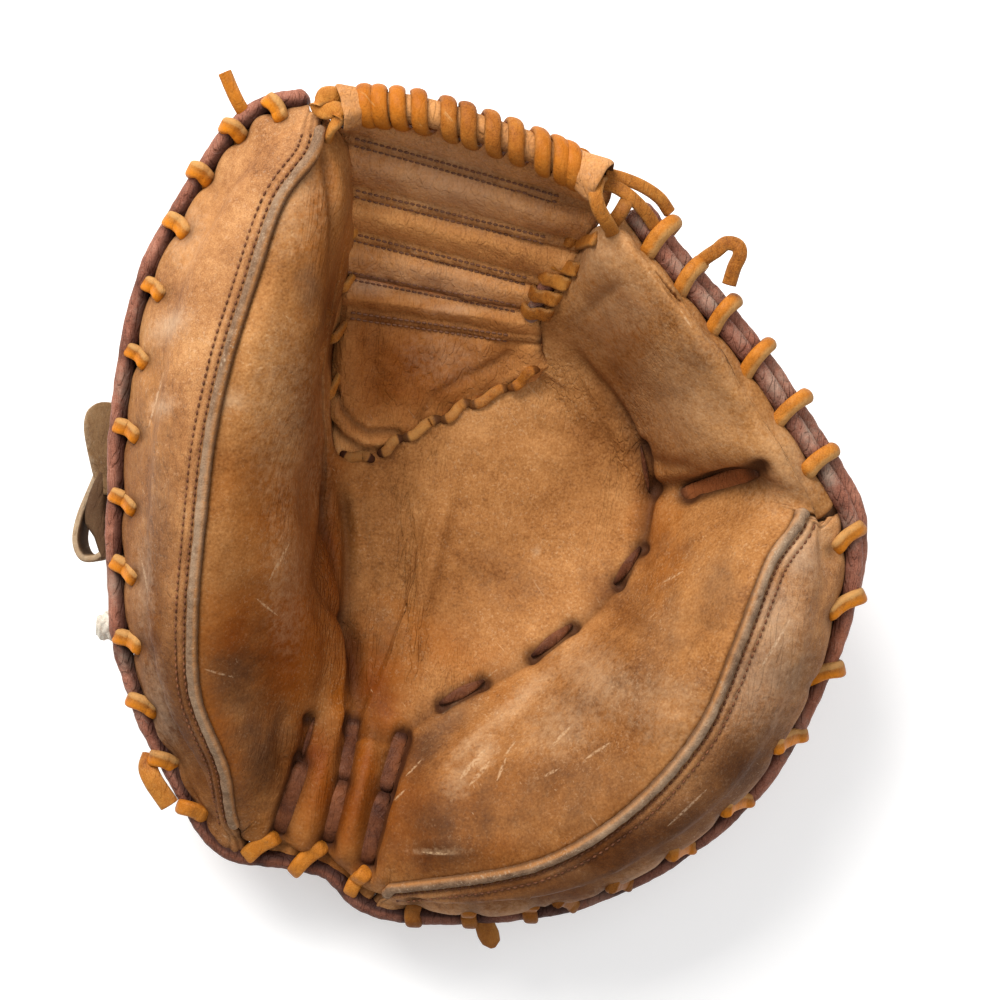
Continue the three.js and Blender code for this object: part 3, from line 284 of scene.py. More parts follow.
def sheetPiece(name, top, under, step, material, masks):
    points = np.concatenate([top.reshape(-1, 3), under[::step, ::step].reshape(-1, 3)])
    flat = {key: value.ravel() for key, value in masks.items()}
    return newPiece(name, points, sheetFaces(*top.shape[:2], step), material, flat)


# Gathers several closed strips or tubes into one mesh
class Builder:
    def __init__(self):
        self.points, self.faces, self.masks, self.count = [], [], {}, 0

    def add(self, rings, masks):
        rows, cols = rings.shape[:2]
        points = rings.reshape(-1, 3)
        r, c = np.meshgrid(np.arange(rows - 1), np.arange(cols), indexing="ij")
        a, b = r * cols + c, r * cols + (c + 1) % cols
        quads = np.stack([a, b, b + cols, a + cols], axis=-1).reshape(-1, 4)
        faces = quads.tolist() + [list(range(cols))[::-1], list(range((rows - 1) * cols, rows * cols))]
        p, q, s, t = (points[quads] - points.mean(axis=0)).transpose(1, 0, 2)
        way = -1 if np.sum(p * (np.cross(q, s) + np.cross(s, t))) < 0 else 1
        self.points.append(points)
        self.faces += [tuple(self.count + i for i in face[::way]) for face in faces]
        for key, values in masks.items():
            self.masks.setdefault(key, []).append(np.broadcast_to(values, (rows, cols)).ravel())
        self.count += len(points)
        return self

    def finish(self, name, skin, slot, node=None):
        masks = {key: np.concatenate(values) for key, values in self.masks.items()}
        piece = newPiece(name, np.concatenate(self.points), self.faces, skins[skin], masks)
        if node:
            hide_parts(node)
        return piece


def along(path):
    return unit(np.gradient(path, axis=0))


def resample(path, count):
    length = runLength(path)
    want = np.linspace(0, length[-1], count)
    return np.stack([np.interp(want, length, path[:, k]) for k in range(3)], axis=1)


def seamLine(rows):
    return topPoints(rows, np.interp(rows, *palmEdge))


# How far each point of a tube faces away from the mitt
def facingOut(rings, path, rows):
    return np.sum((rings - path[:, None])[..., :2] * outward(rows)[:, None, :2], axis=2)


# Direction of a strap's width, square to its path
def sideOf(ways, tangent):
    return unit(ways - tangent * np.sum(ways * tangent, axis=1, keepdims=True))


# Rounded strap; ways is the direction of its width, a lower square gives sharper corners
def strapRings(path, ways, wide, thick, sides=14, square=0.55):
    path = np.asarray(path, float)
    tangent = along(path)
    side = sideOf(np.broadcast_to(np.asarray(ways, float), path.shape), tangent)
    up = np.cross(tangent, side)
    turn = np.linspace(0, 2 * math.pi, sides, endpoint=False) + math.pi / sides
    x = np.sign(np.cos(turn)) * np.abs(np.cos(turn)) ** square
    y = np.sign(np.sin(turn)) * np.abs(np.sin(turn)) ** (square + 0.15)
    wide, thick = (np.broadcast_to(size, len(path))[:, None, None] for size in (wide, thick))
    rings = path[:, None] + side[:, None] * x[None, :, None] * wide / 2 + up[:, None] * y[None, :, None] * thick / 2
    return rings, np.broadcast_to(np.abs(x) ** 6, (len(path), sides))


def tubeRings(path, radius, sides=16):
    tangent = along(path)
    side = np.zeros_like(path)
    way = np.cross(tangent[0], [0.0, 0.0, 1.0])
    for i in range(len(path)):
        way = way - tangent[i] * (way @ tangent[i])
        way = way / np.linalg.norm(way)
        side[i] = way
    up = np.cross(tangent, side)
    turn = np.linspace(0, 2 * math.pi, sides, endpoint=False)[None, :, None]
    radius = np.broadcast_to(np.asarray(radius, float).reshape(-1, 1, 1), (len(path), 1, 1))
    return path[:, None] + (side[:, None] * np.cos(turn) + up[:, None] * np.sin(turn)) * radius


# Rounds the ends of a tube or strap by drawing its last rings together
def taper(path, values, reach):
    length = runLength(path)
    end = np.minimum(length, length[-1] - length) / reach
    return values * np.sqrt(np.clip(1 - (1 - np.clip(end, 0, 1)) ** 2, 0.04, 1))


# Where a look down from above meets a piece
def treeOf(*pieces):
    points, faces = [], []
    for piece in pieces:
        base = len(points)
        points += [tuple(v.co) for v in piece.data.vertices]
        faces += [[base + i for i in face.vertices] for face in piece.data.polygons]
    return BVHTree.FromPolygons(points, faces)


def heightOn(tree, x, y, fallback=40.0):
    hit = tree.ray_cast(Vector((x * mm, y * mm, 0.3)), Vector((0, 0, -1)))
    return hit[0].z / mm if hit[0] is not None else fallback


print("shape tools ready")


# Node helpers
def addNode(tree, kind, **values):
    made = tree.nodes.new(kind)
    for key, value in values.items():
        setattr(made, key, value)
    return made


# Wires a socket to a target, or sets its value
def fill(tree, target, value):
    if isinstance(value, bpy.types.NodeSocket):
        tree.links.new(value, target)
    elif isinstance(value, (tuple, list)) and len(value) == 3 and target.type == "RGBA":
        target.default_value = (*value, 1)
    else:
        target.default_value = value


def filled(tree, made, values):
    for key, value in values.items():
        fill(tree, made.inputs[key], value)
    return made


def maths(tree, operation, a, b=0.0, c=None, clamp=False):
    made = addNode(tree, "ShaderNodeMath", operation=operation, use_clamp=clamp)
    return filled(tree, made, {0: a, 1: b} if c is None else {0: a, 1: b, 2: c}).outputs[0]


def times(tree, a, b, clamp=False):
    return maths(tree, "MULTIPLY", a, b, clamp=clamp)


def timesPlus(tree, a, b, c):
    return maths(tree, "MULTIPLY_ADD", a, b, c)


def vectorMaths(tree, operation, **values):
    made = addNode(tree, "ShaderNodeVectorMath", operation=operation)
    for socket, value in zip(made.inputs, values.values()):
        fill(tree, socket, value)
    return made.outputs[1 if operation in ("DOT_PRODUCT", "DISTANCE") else 0]


def blend(tree, share, a, b, mode="MIX"):
    made = addNode(tree, "ShaderNodeMix", data_type="RGBA", blend_type=mode)
    return filled(tree, made, {0: share, 6: a, 7: b}).outputs[2]


def spread(tree, value, low, high, toLow=0.0, toHigh=1.0):
    made = addNode(tree, "ShaderNodeMapRange", clamp=True, interpolation_type="SMOOTHSTEP")
    return filled(tree, made, dict(enumerate((value, low, high, toLow, toHigh)))).outputs[0]


def noiseOf(tree, place, scale, detail=4.0, rough=0.55, twist=0.0):
    return filled(tree, addNode(tree, "ShaderNodeTexNoise"), {
        "Vector": place, "Scale": scale, "Detail": detail, "Roughness": rough, "Distortion": twist}).outputs["Fac"]


def turned(tree, place, angle):
    made = addNode(tree, "ShaderNodeVectorRotate", rotation_type="Z_AXIS")
    return filled(tree, made, {"Vector": place, "Angle": angle}).outputs[0]


def cellsOf(tree, place, scale, feature, **more):
    made = addNode(tree, "ShaderNodeTexVoronoi", feature=feature)
    return filled(tree, made, {"Vector": place, "Scale": scale, **more}).outputs["Distance"]


# Empty group: a number makes a value input, three make a colour and None makes a vector
def newGroup(name, inputs, output):
    group = bpy.data.node_groups.new(name, "ShaderNodeTree")
    for label, value in inputs.items():
        kind = "Vector" if value is None else "Color" if isinstance(value, tuple) else "Float"
        socket = group.interface.new_socket(name=label, in_out="INPUT", socket_type="NodeSocket" + kind)
        if value is not None:
            socket.default_value = (*value, 1) if kind == "Color" else value
    kind = "NodeSocketColor" if output == "Color" else "NodeSocketFloat"
    group.interface.new_socket(name=output, in_out="OUTPUT", socket_type=kind)
    given = addNode(group, "NodeGroupInput").outputs
    return group, given, given["Place"], addNode(group, "NodeGroupOutput").inputs[0]


def useGroup(tree, name, where, **values):
    made = addNode(tree, "ShaderNodeGroup", node_tree=groups[name])
    inputs = {key.capitalize(): value for key, value in values.items()}
    return filled(tree, made, {"Place": where, **inputs}).outputs[0]


# Pebbled leather grain with pores and a soft fibrous swell
def makeGrain():
    group, given, where, out = newGroup("leatherGrain", {"Place": None, "Scale": 900.0, "Softness": 0.5}, "Height")
    cells = cellsOf(group, where, given["Scale"], "SMOOTH_F1", Smoothness=0.6)
    fine = noiseOf(group, where, times(group, given["Scale"], 2.3), 3.0, 0.6)
    broad = noiseOf(group, where, times(group, given["Scale"], 0.12), 4.0, 0.6)
    mixed = timesPlus(group, fine, given["Softness"], times(group, cells, 0.8))
    fill(group, out, timesPlus(group, broad, 0.9, mixed))
    return group


# Colour that drifts between three tones in large and small patches
def makeTone():
    group, given, where, out = newGroup("toneDrift", {
        "Place": None, "Light": (0.6, 0.4, 0.2), "Middle": (0.5, 0.3, 0.15), "Dark": (0.3, 0.15, 0.08),
        "Scale": 28.0}, "Color")
    large = noiseOf(group, where, given["Scale"], 5.0, 0.6, 0.4)
    small = noiseOf(group, where, times(group, given["Scale"], 9.0), 5.0, 0.7)
    speck = noiseOf(group, where, times(group, given["Scale"], 46.0), 2.0, 0.6)
    drift = maths(group, "ADD", times(group, large, 0.46), times(group, small, 0.22))
    drift = timesPlus(group, speck, 0.32, drift)
    first = blend(group, spread(group, drift, 0.36, 0.52), given["Dark"], given["Middle"])
    fill(group, out, blend(group, spread(group, drift, 0.48, 0.66), first, given["Light"]))
    return group


# Broken patches inside a soft mask, such as stains, rubbed places and painted shade
def makePatch():
    group, given, where, out = newGroup(
        "brokenPatch", {"Place": None, "Mask": 0.0, "Scale": 120.0, "Torn": 0.5}, "Mask")
    rough = noiseOf(group, where, given["Scale"], 6.0, 0.7, 0.3)
    push = times(group, maths(group, "SUBTRACT", rough, 0.5), given["Torn"])
    ragged = maths(group, "MAXIMUM", timesPlus(group, push, 3.0, given["Mask"]), 0.0, clamp=True)
    fill(group, out, times(group, ragged, spread(group, given["Mask"], 0.0, 0.12)))
    return group


# Fine pale scratches that run mostly one way
def makeScratch():
    group, given, where, out = newGroup("paleScratches", {"Place": None, "Turn": 0.6, "Amount": 0.5}, "Mask")
    longWay = vectorMaths(group, "MULTIPLY", a=turned(group, where, given["Turn"]), b=(55, 900, 500))
    thin = spread(group, noiseOf(group, longWay, 1.0, 2.0, 0.5, 0.6), 0.69, 0.76)
    patches = spread(group, noiseOf(group, where, 38.0, 3.0, 0.6), 0.46, 0.62)
    fill(group, out, times(group, times(group, thin, patches), given["Amount"]))
    return group


# One scratch or rubbed stroke between two places, fading at its ends
def makeStroke():
    group, given, where, out = newGroup(
        "strokeMark", {"Place": None, "Start": None, "End": None, "Width": 0.0006}, "Mask")
    flat = vectorMaths(group, "MULTIPLY", a=where, b=(1, 1, 0))
    reach = vectorMaths(group, "SUBTRACT", a=given["End"], b=given["Start"])
    here = vectorMaths(group, "SUBTRACT", a=flat, b=given["Start"])
    share = maths(group, "DIVIDE", vectorMaths(group, "DOT_PRODUCT", a=here, b=reach),
                  vectorMaths(group, "DOT_PRODUCT", a=reach, b=reach), clamp=True)
    near = addNode(group, "ShaderNodeVectorMath", operation="SCALE")
    near = filled(group, near, {0: reach, "Scale": share}).outputs[0]
    apart = vectorMaths(group, "DISTANCE", a=here, b=near)
    ends = times(group, times(group, share, maths(group, "SUBTRACT", 1.0, share)), 4.0)
    broken = spread(group, noiseOf(group, where, 900.0, 3.0, 0.6), 0.36, 0.6)
    width = times(group, given["Width"], maths(group, "ADD", ends, 0.25))
    line = spread(group, maths(group, "DIVIDE", apart, width), 0.3, 1.0, 1.0, 0.0)
    fill(group, out, times(group, line, broken))
    return group


# Creased skin: short lines drawn out along one direction
def makeWrinkle():
    group, given, where, out = newGroup(
        "skinWrinkles", {"Place": None, "Turn": 0.0, "Stretch": 5.0, "Scale": 320.0}, "Height")
    pull = filled(group, addNode(group, "ShaderNodeCombineXYZ"), {
        0: 1.0, 1: maths(group, "DIVIDE", 1.0, given["Stretch"]), 2: 1.0}).outputs[0]
    longWay = vectorMaths(group, "MULTIPLY", a=turned(group, where, given["Turn"]), b=pull)
    shake = filled(group, addNode(group, "ShaderNodeTexNoise"), {"Vector": longWay, "Scale": 260.0})
    moved = vectorMaths(group, "MULTIPLY_ADD", a=shake.outputs["Color"], b=(0.0022, 0.0022, 0.0022), c=longWay)
    cells = cellsOf(group, moved, given["Scale"], "DISTANCE_TO_EDGE")
    fill(group, out, spread(group, cells, 0.0, 0.16))
    return group


# Pale flecks and fibres where the surface has been rubbed
def makeFleck():
    group, given, where, out = newGroup("paleFlecks", {"Place": None, "Amount": 0.3}, "Mask")
    fine = noiseOf(group, where, 1300.0, 2.0, 0.6, 0.8)
    middle = noiseOf(group, where, 520.0, 3.0, 0.6, 0.5)
    both = maths(group, "ADD", times(group, fine, 0.6), times(group, middle, 0.4))
    patches = spread(group, noiseOf(group, where, 30.0, 4.0, 0.6), 0.36, 0.64, 0.25, 1.0)
    fill(group, out, times(group, times(group, spread(group, both, 0.53, 0.64), patches), given["Amount"]))
    return group


groups = {"grain": makeGrain(), "fleck": makeFleck(), "tone": makeTone(), "patch": makePatch(),
          "scratch": makeScratch(), "stroke": makeStroke(), "wrinkle": makeWrinkle()}
plainLook = {"scale": 28.0, "deep": (0.46, 0.3, 0.13), "rubAndHighlight": 0.5, "scratches": 0.35, "scratchTurn": 0.9,
             "strokes": (), "flecks": 0.2, "grain": 900.0, "rough": 0.54, "specular": 0.11, "wrinkleTurn": 0.15,
             "stretch": 5.0, "wrinkles": 420.0, "bump": 0.55, "bumpDeep": 0.00045, "stroke": 0.45}
# Masks painted on the pieces: size of the breaks, how torn they are, strength and way of mixing
# deep multiplies in a painted shade; pale lays pale wear and painted highlights
patches = (("warm", 60.0, 0.5, 0.85, "MIX"), ("stain", 110.0, 0.5, 0.75, "MIX"),
           ("deep", 45.0, 0.3, 0.95, "MULTIPLY"), ("pale", 420.0, 0.5, None, "MIX"))


def maskOf(tree, name):
    return addNode(tree, "ShaderNodeAttribute", attribute_name=name).outputs["Fac"]


# Worn leather: drifting tan, warm places, grey stains, a painted shade multiplied in, pale rubs and painted highlights,
# dirt and painted shade in the creases and gaps
def leather(name, look):
    look = {**plainLook, **look}
    material = bpy.data.materials.new(name)
    material.use_nodes = True
    tree = material.node_tree
    shader = tree.nodes["Principled BSDF"]
    where = addNode(tree, "ShaderNodeTexCoord").outputs["Object"]
    colour = useGroup(tree, "tone", where, **{key: look[key] for key in ("light", "middle", "dark", "scale")})
    patchMasks = {}
    for key, size, torn, share, mode in patches:
        patchMasks[key] = useGroup(tree, "patch", where, mask=maskOf(tree, key), scale=size, torn=torn)
        colour = blend(tree, times(tree, patchMasks[key], share or look["rubAndHighlight"]), colour, look[key], mode)
    marks = [useGroup(tree, "scratch", where, amount=look["scratches"], turn=look["scratchTurn"])]
    for x0, y0, x1, y1, width in look["strokes"]:
        marks.append(times(tree, useGroup(tree, "stroke", where, start=(x0 * mm, y0 * mm, 0),
                                          end=(x1 * mm, y1 * mm, 0), width=width * mm), look["stroke"]))
    fleck = useGroup(tree, "fleck", where, amount=look["flecks"])
    marks.append(times(tree, fleck, timesPlus(tree, patchMasks["deep"], -0.85, 1.0)))
    for mark in marks:
        colour = blend(tree, mark, colour, look["pale"])
    colour = blend(tree, times(tree, maskOf(tree, "dirtAndShade"), 0.9, clamp=True), colour, look["dirtAndShade"])
    grain = useGroup(tree, "grain", where, scale=look["grain"])
    pores = blend(tree, spread(tree, grain, 0.55, 1.35, 0.82, 1.1), (0, 0, 0), (1, 1, 1))
    rough = timesPlus(tree, patchMasks["warm"], -0.12, timesPlus(tree, grain, 0.12, look["rough"]))
    wrinkles = useGroup(tree, "wrinkle", where, turn=look["wrinkleTurn"], stretch=look["stretch"],
                        scale=look["wrinkles"])
    flat = maths(tree, "SUBTRACT", 1.0, maskOf(tree, "wrinkle"), clamp=True)
    creased = times(tree, maths(tree, "MAXIMUM", wrinkles, flat), 2.3)
    bump = filled(tree, addNode(tree, "ShaderNodeBump"), {
        "Strength": look["bump"], "Distance": look["bumpDeep"], "Height": timesPlus(tree, grain, 0.42, creased)})
    filled(tree, shader, {"Base Color": blend(tree, 1.0, colour, pores, "MULTIPLY"),
                          "Roughness": timesPlus(tree, patchMasks["pale"], 0.15, rough),
                          "Specular IOR Level": look["specular"], "Normal": bump.outputs[0]})
    return material


print("node groups ready")

# The seven colours of each surface, and what else differs from the plain look
tones = ("light", "middle", "dark", "warm", "stain", "pale", "dirtAndShade")
surfaces = {
    "palm": ([(0.5, 0.24, 0.084), (0.355, 0.15, 0.043), (0.21, 0.076, 0.018), (0.37, 0.105, 0.005),
              (0.1, 0.055, 0.036), (0.66, 0.44, 0.25), (0.04, 0.012, 0.005)],
             {"deep": (0.4, 0.24, 0.05), "scale": 26, "grain": 820, "scratches": 0.35, "flecks": 0.3, "stretch": 9,
              "wrinkles": 560}),
    "side": ([(0.54, 0.275, 0.11), (0.36, 0.158, 0.056), (0.18, 0.068, 0.024), (0.62, 0.28, 0.08),
              (0.11, 0.06, 0.038), (0.68, 0.47, 0.3), (0.045, 0.016, 0.007)],
             {"deep": (0.38, 0.24, 0.08), "scale": 50, "grain": 900, "rough": 0.5, "scratches": 0.3, "flecks": 0.28}),
    "web": ([(0.72, 0.35, 0.12), (0.58, 0.25, 0.074), (0.37, 0.145, 0.04), (0.3, 0.1, 0.02), (0.1, 0.06, 0.045),
             (0.58, 0.38, 0.24), (0.04, 0.014, 0.006)],
            {"deep": (0.36, 0.22, 0.07), "scale": 34, "grain": 900, "rough": 0.52}),
    "back": ([(0.34, 0.17, 0.08), (0.24, 0.11, 0.05), (0.12, 0.052, 0.028), (0.26, 0.1, 0.035), (0.1, 0.08, 0.075),
              (0.5, 0.38, 0.28), (0.035, 0.015, 0.01)], {"scale": 30, "rough": 0.55}),
    "welt": ([(0.36, 0.22, 0.125), (0.22, 0.13, 0.075), (0.09, 0.045, 0.024), (0.42, 0.17, 0.045),
              (0.12, 0.085, 0.07), (0.5, 0.37, 0.25), (0.04, 0.018, 0.01)],
             {"scale": 130, "grain": 1500, "rough": 0.75, "bump": 0.9, "flecks": 0.6}),
    "binding": ([(0.42, 0.19, 0.125), (0.29, 0.11, 0.068), (0.13, 0.042, 0.026), (0.3, 0.09, 0.03),
                 (0.05, 0.035, 0.03), (0.36, 0.29, 0.225), (0.02, 0.008, 0.007)],
                {"rubAndHighlight": 0.8, "scale": 55, "grain": 1100, "rough": 0.42, "bump": 0.7}),
    "rawhide": ([(0.57, 0.24, 0.045), (0.41, 0.142, 0.02), (0.19, 0.056, 0.009), (0.64, 0.2, 0.008),
                 (0.12, 0.06, 0.03), (0.5, 0.3, 0.115), (0.05, 0.016, 0.007)],
                {"rubAndHighlight": 0.6, "deep": (0.55, 0.4, 0.2), "scale": 70, "grain": 1300, "rough": 0.42, "bump": 0.5}),
    "darkLace": ([(0.13, 0.045, 0.02), (0.075, 0.023, 0.01), (0.035, 0.01, 0.005), (0.34, 0.11, 0.035),
                  (0.06, 0.045, 0.04), (0.33, 0.17, 0.1), (0.02, 0.008, 0.006)],
                 {"scale": 80, "grain": 1300, "rough": 0.45, "bump": 0.5}),
    "suede": ([(0.4, 0.25, 0.12), (0.28, 0.155, 0.065), (0.14, 0.07, 0.03), (0.4, 0.2, 0.08), (0.1, 0.075, 0.06),
               (0.7, 0.58, 0.42), (0.06, 0.03, 0.018)],
              {"scale": 80, "grain": 2200, "rough": 0.82, "specular": 0.15}),
    "fleece": ([(0.78, 0.73, 0.64), (0.66, 0.6, 0.5), (0.45, 0.38, 0.29), (0.5, 0.4, 0.28), (0.3, 0.25, 0.2),
                (0.85, 0.82, 0.76), (0.2, 0.15, 0.1)],
               {"scale": 120, "grain": 1800, "rough": 0.95, "bump": 0.9, "specular": 0.1}),
    "thread": ([(0.25, 0.1, 0.045), (0.16, 0.06, 0.028), (0.07, 0.025, 0.012), (0.1, 0.04, 0.02),
                (0.03, 0.02, 0.02), (0.25, 0.15, 0.1), (0.01, 0.005, 0.004)],
               {"scale": 100, "grain": 2500, "rough": 0.6}),
}
looks = {name: {**dict(zip(tones, colours)), **more} for name, (colours, more) in surfaces.items()}

# Loops of the rim lace as the photo shows them: row, hole in the leather and turn outside the bindings
rimLoops = [
    (0.72, (-61.1, 125.6), (-66.6, 133.6)), (1.28, (-74.2, 120.7), (-81.6, 125.3)),
    (1.87, (-85.4, 108.1), (-92.6, 112.6)), (2.44, (-92.5, 91.2), (-100.3, 97.9)),
    (3.13, (-100.4, 71.7), (-108, 77.9)), (3.88, (-106.2, 50.6), (-114.3, 57)),
    (4.8, (-109.3, 27.2), (-119.3, 32.6)), (5.62, (-110.7, 3.8), (-120.9, 10.4)),
    (6.38, (-111, -18.6), (-121, -11.2)), (7.24, (-110.2, -40.8), (-121, -36.3)),
    (8.02, (-107, -62.4), (-117.2, -57.1)), (8.87, (-101.4, -80.6), (-110.8, -77.1)),
    (9.48, (-90.2, -98.3), (-100.2, -94.2)), (10.58, (-66.5, -104.6), (-78.6, -112.6)),
    (11.36, (-51, -107.6), (-62.8, -118)), (12.56, (-36, -115), (-44, -125.6)),
    (13.81, (-21.1, -126.4), (-21.8, -136)), (14.44, (-2.3, -125.4), (-3, -136)),
    (14.9, (18, -123.6), (17.3, -133.9)), (15.13, (24.6, -122.6), (32.9, -129)),
    (15.65, (41, -117.4), (51.2, -120.8)), (16.27, (60.2, -107.2), (72, -107.6)),
    (16.87, (77.2, -92.9), (90.6, -91.4)), (17.56, (93.4, -72.7), (107.4, -69.4)),
    (18.21, (105.4, -51.5), (118.7, -47.4)), (18.96, (111.2, -30.4), (124.4, -23.2)),
    (19.89, (113.6, -9.2), (123.4, -1)), (21.17, (103, 14.8), (114.1, 23.8)), (21.71, (93.7, 30.9), (105, 40.9)),
    (22.35, (83.1, 45.3), (92.8, 57.2)), (23.06, (72.6, 59.1), (81.6, 70.7)), (23.74, (62.2, 70.7), (70.6, 82.2)),
    (24.5, (51.8, 82.5), (62.2, 94.4)),
]
loopRows = [loop[0] for loop in rimLoops]
loopHoles = [loop[1] for loop in rimLoops]

# Visible lengths of the dark laces through the palm: both ends in X and Y, and how full the lace shows
stitches = {
    "pocket_lace": [((88.5, 16.5), (68.5, 8.5), 1.05), ((54.5, 25), (57.5, 10), 0.3),
                    ((54.2, -9.2), (46, -21), 0.62), ((31, -35.4), (18, -45.6), 0.7),
                    ((1.2, -54), (-13, -61.4), 0.7)],
    "heel_lace_left": [((-55, -66), (-58.6, -78), 0.3), ((-58.6, -80.5), (-66.4, -103.4), 1)],
    "heel_lace_middle": [((-42.6, -67.4), (-45, -86.4), 0.95), ((-45.2, -86.8), (-50.4, -107), 1)],
    "heel_lace_right": [((-26.2, -71.6), (-31.4, -90), 0.95), ((-31.8, -90.8), (-37.6, -113.5), 1)],
}
stitchHoles = [end for runs in stitches.values() for pair in runs for end in pair[:2]]

# Folds and creases of the palm seen from above: line in X and Y, half width, depth,
# length over which it fades, and the end at which it stays open
folds = [
    ([(-48, 121.5), (-45.3, 104), (-44.4, 90), (-45.4, 74), (-48.4, 58), (-49.6, 45)], 1.4, 1.5, 10, ""),
    ([(-43.6, 116), (-41.6, 98), (-41.2, 84), (-43.6, 66)], 2, -0.8, 12, ""),
    ([(-47, 16), (-44.5, 0), (-43.5, -18), (-43.5, -33), (-40.5, -46), (-41.5, -62)], 2, 3.2, 14, ""),
    ([(-51, 16), (-51.8, -0.7), (-52.8, -18), (-49, -28), (-43.5, -36), (-40.5, -46)], 1.5, 1.7, 12, ""),
    ([(-56, 20), (-57, 4), (-55.5, -18), (-50.5, -40), (-53.5, -64)], 2, 0.9, 6, ""),
    ([(28.9, 60.7), (36, 50), (45.1, 39.1), (52, 26), (56, 12), (55, -4), (50, -15)], 2.2, 2.3, 12, ""),
    ([(50, -13), (42, -24), (30, -35), (16, -46), (0, -54), (-14, -60)], 4, 0.8, 6, ""),
    ([(40, -36), (35.5, -38.3), (19.8, -50.9), (3, -66), (-13.4, -79.8)], 4, -1.1, 14, ""),
    ([(-16, -62), (-22, -76), (-27, -92)], 5, 1.2, 12, ""),
    ([(-45.5, -61), (-50, -76), (-54, -90), (-57.5, -106)], 3.6, -2.6, 6, "end"),
    ([(-34, -64), (-36.5, -78), (-40, -92), (-44, -110)], 3.8, -2.8, 6, "end"),
    ([(-53.5, -60), (-59.5, -81), (-67, -104)], 2.6, 1.8, 6, ""),
    ([(-42.3, -66), (-45, -86), (-50, -107)], 2.6, 1.8, 6, ""),
    ([(-26, -70), (-31.8, -90), (-37.7, -114)], 2.8, 2, 6, ""),
    ([(-43.5, 34), (-36, 29.5), (-29, 29)], 1.2, 0.5, 6, ""),
    ([(57.5, 10.4), (69.9, 11.5), (80.2, 13), (96.2, 10.2)], 3, 3.2, 6, "start"),
    ([(52, 26), (60, 19), (72, 17)], 2.4, 1.4, 6, ""), ([(60, -30), (72, -33), (80, -34)], 1.6, 0.7, 6, ""),
    ([(33, 63), (38, 70), (46, 74)], 2, 1, 6, ""), ([(-37, 16), (-39, 2), (-36, -14), (-33, -30)], 1.3, 0.5, 6, ""),
    ([(15, 42), (19, 34), (27, 27)], 1.3, 0.6, 6, ""), ([(20, 50), (26, 45), (33, 41)], 1.1, 0.7, 6, ""),
    ([(24, 38), (31, 33), (38, 30)], 1.3, 0.5, 6, ""), ([(-50, 40), (-46, 30), (-44, 22)], 1.6, 0.8, 6, ""),
    ([(-62, -60), (-66, -70), (-64, -84)], 2, 1.2, 6, ""),
    ([(-22, -74), (-25, -88), (-29, -104), (-31, -118)], 2.6, -1.2, 6, "end"),
    ([(-45.5, -30), (-41.2, -42), (-40.2, -54), (-41.6, -68)], 2, 2.8, 9, ""),
    ([(-38.2, -44), (-37, -58), (-36.4, -76)], 2.4, -0.9, 8, ""),
    ([(-27.5, 22), (-24, 4), (-22, -12), (-21.6, -26), (-18, -54)], 0.9, 0.5, 10, ""),
    ([(-24, 20), (-20.6, 2), (-19, -14), (-18.6, -28), (-15, -50)], 0.8, 0.4, 10, ""),
    ([(-31, 18), (-27.6, 0), (-25.4, -14), (-25, -30), (-22, -52)], 0.8, 0.45, 10, ""),
    ([(-21, 24), (-22, 30), (-25, 34)], 1.2, 0.6, 3, ""),
    ([(26, 58), (36, 42), (45, 24), (48, 2)], 1.1, 0.5, 10, ""),
    ([(-8, -62), (-6, -78), (-3, -92)], 2.4, 0.9, 6, ""), ([(10, -56), (16, -64), (24, -72)], 2, 0.5, 6, ""),
]

# Pads and hollows raised or lowered softly: X, Y, reach, reach, turn, height
swells = [
    (-66, 62, 16, 30, 8, 1.6), (-70, 8, 14, 26, 0, 1.2), (-68, -38, 15, 18, -10, 1.4), (62, 50, 15, 20, 40, 1.6),
    (72, -12, 14, 18, -20, 1.2), (54, -54, 18, 20, -40, 1.6), (12, -88, 20, 15, 10, 1.6),
    (-12, -100, 8, 14, 0, 1.2), (-63, -82, 10, 12, 20, 1.2),
]

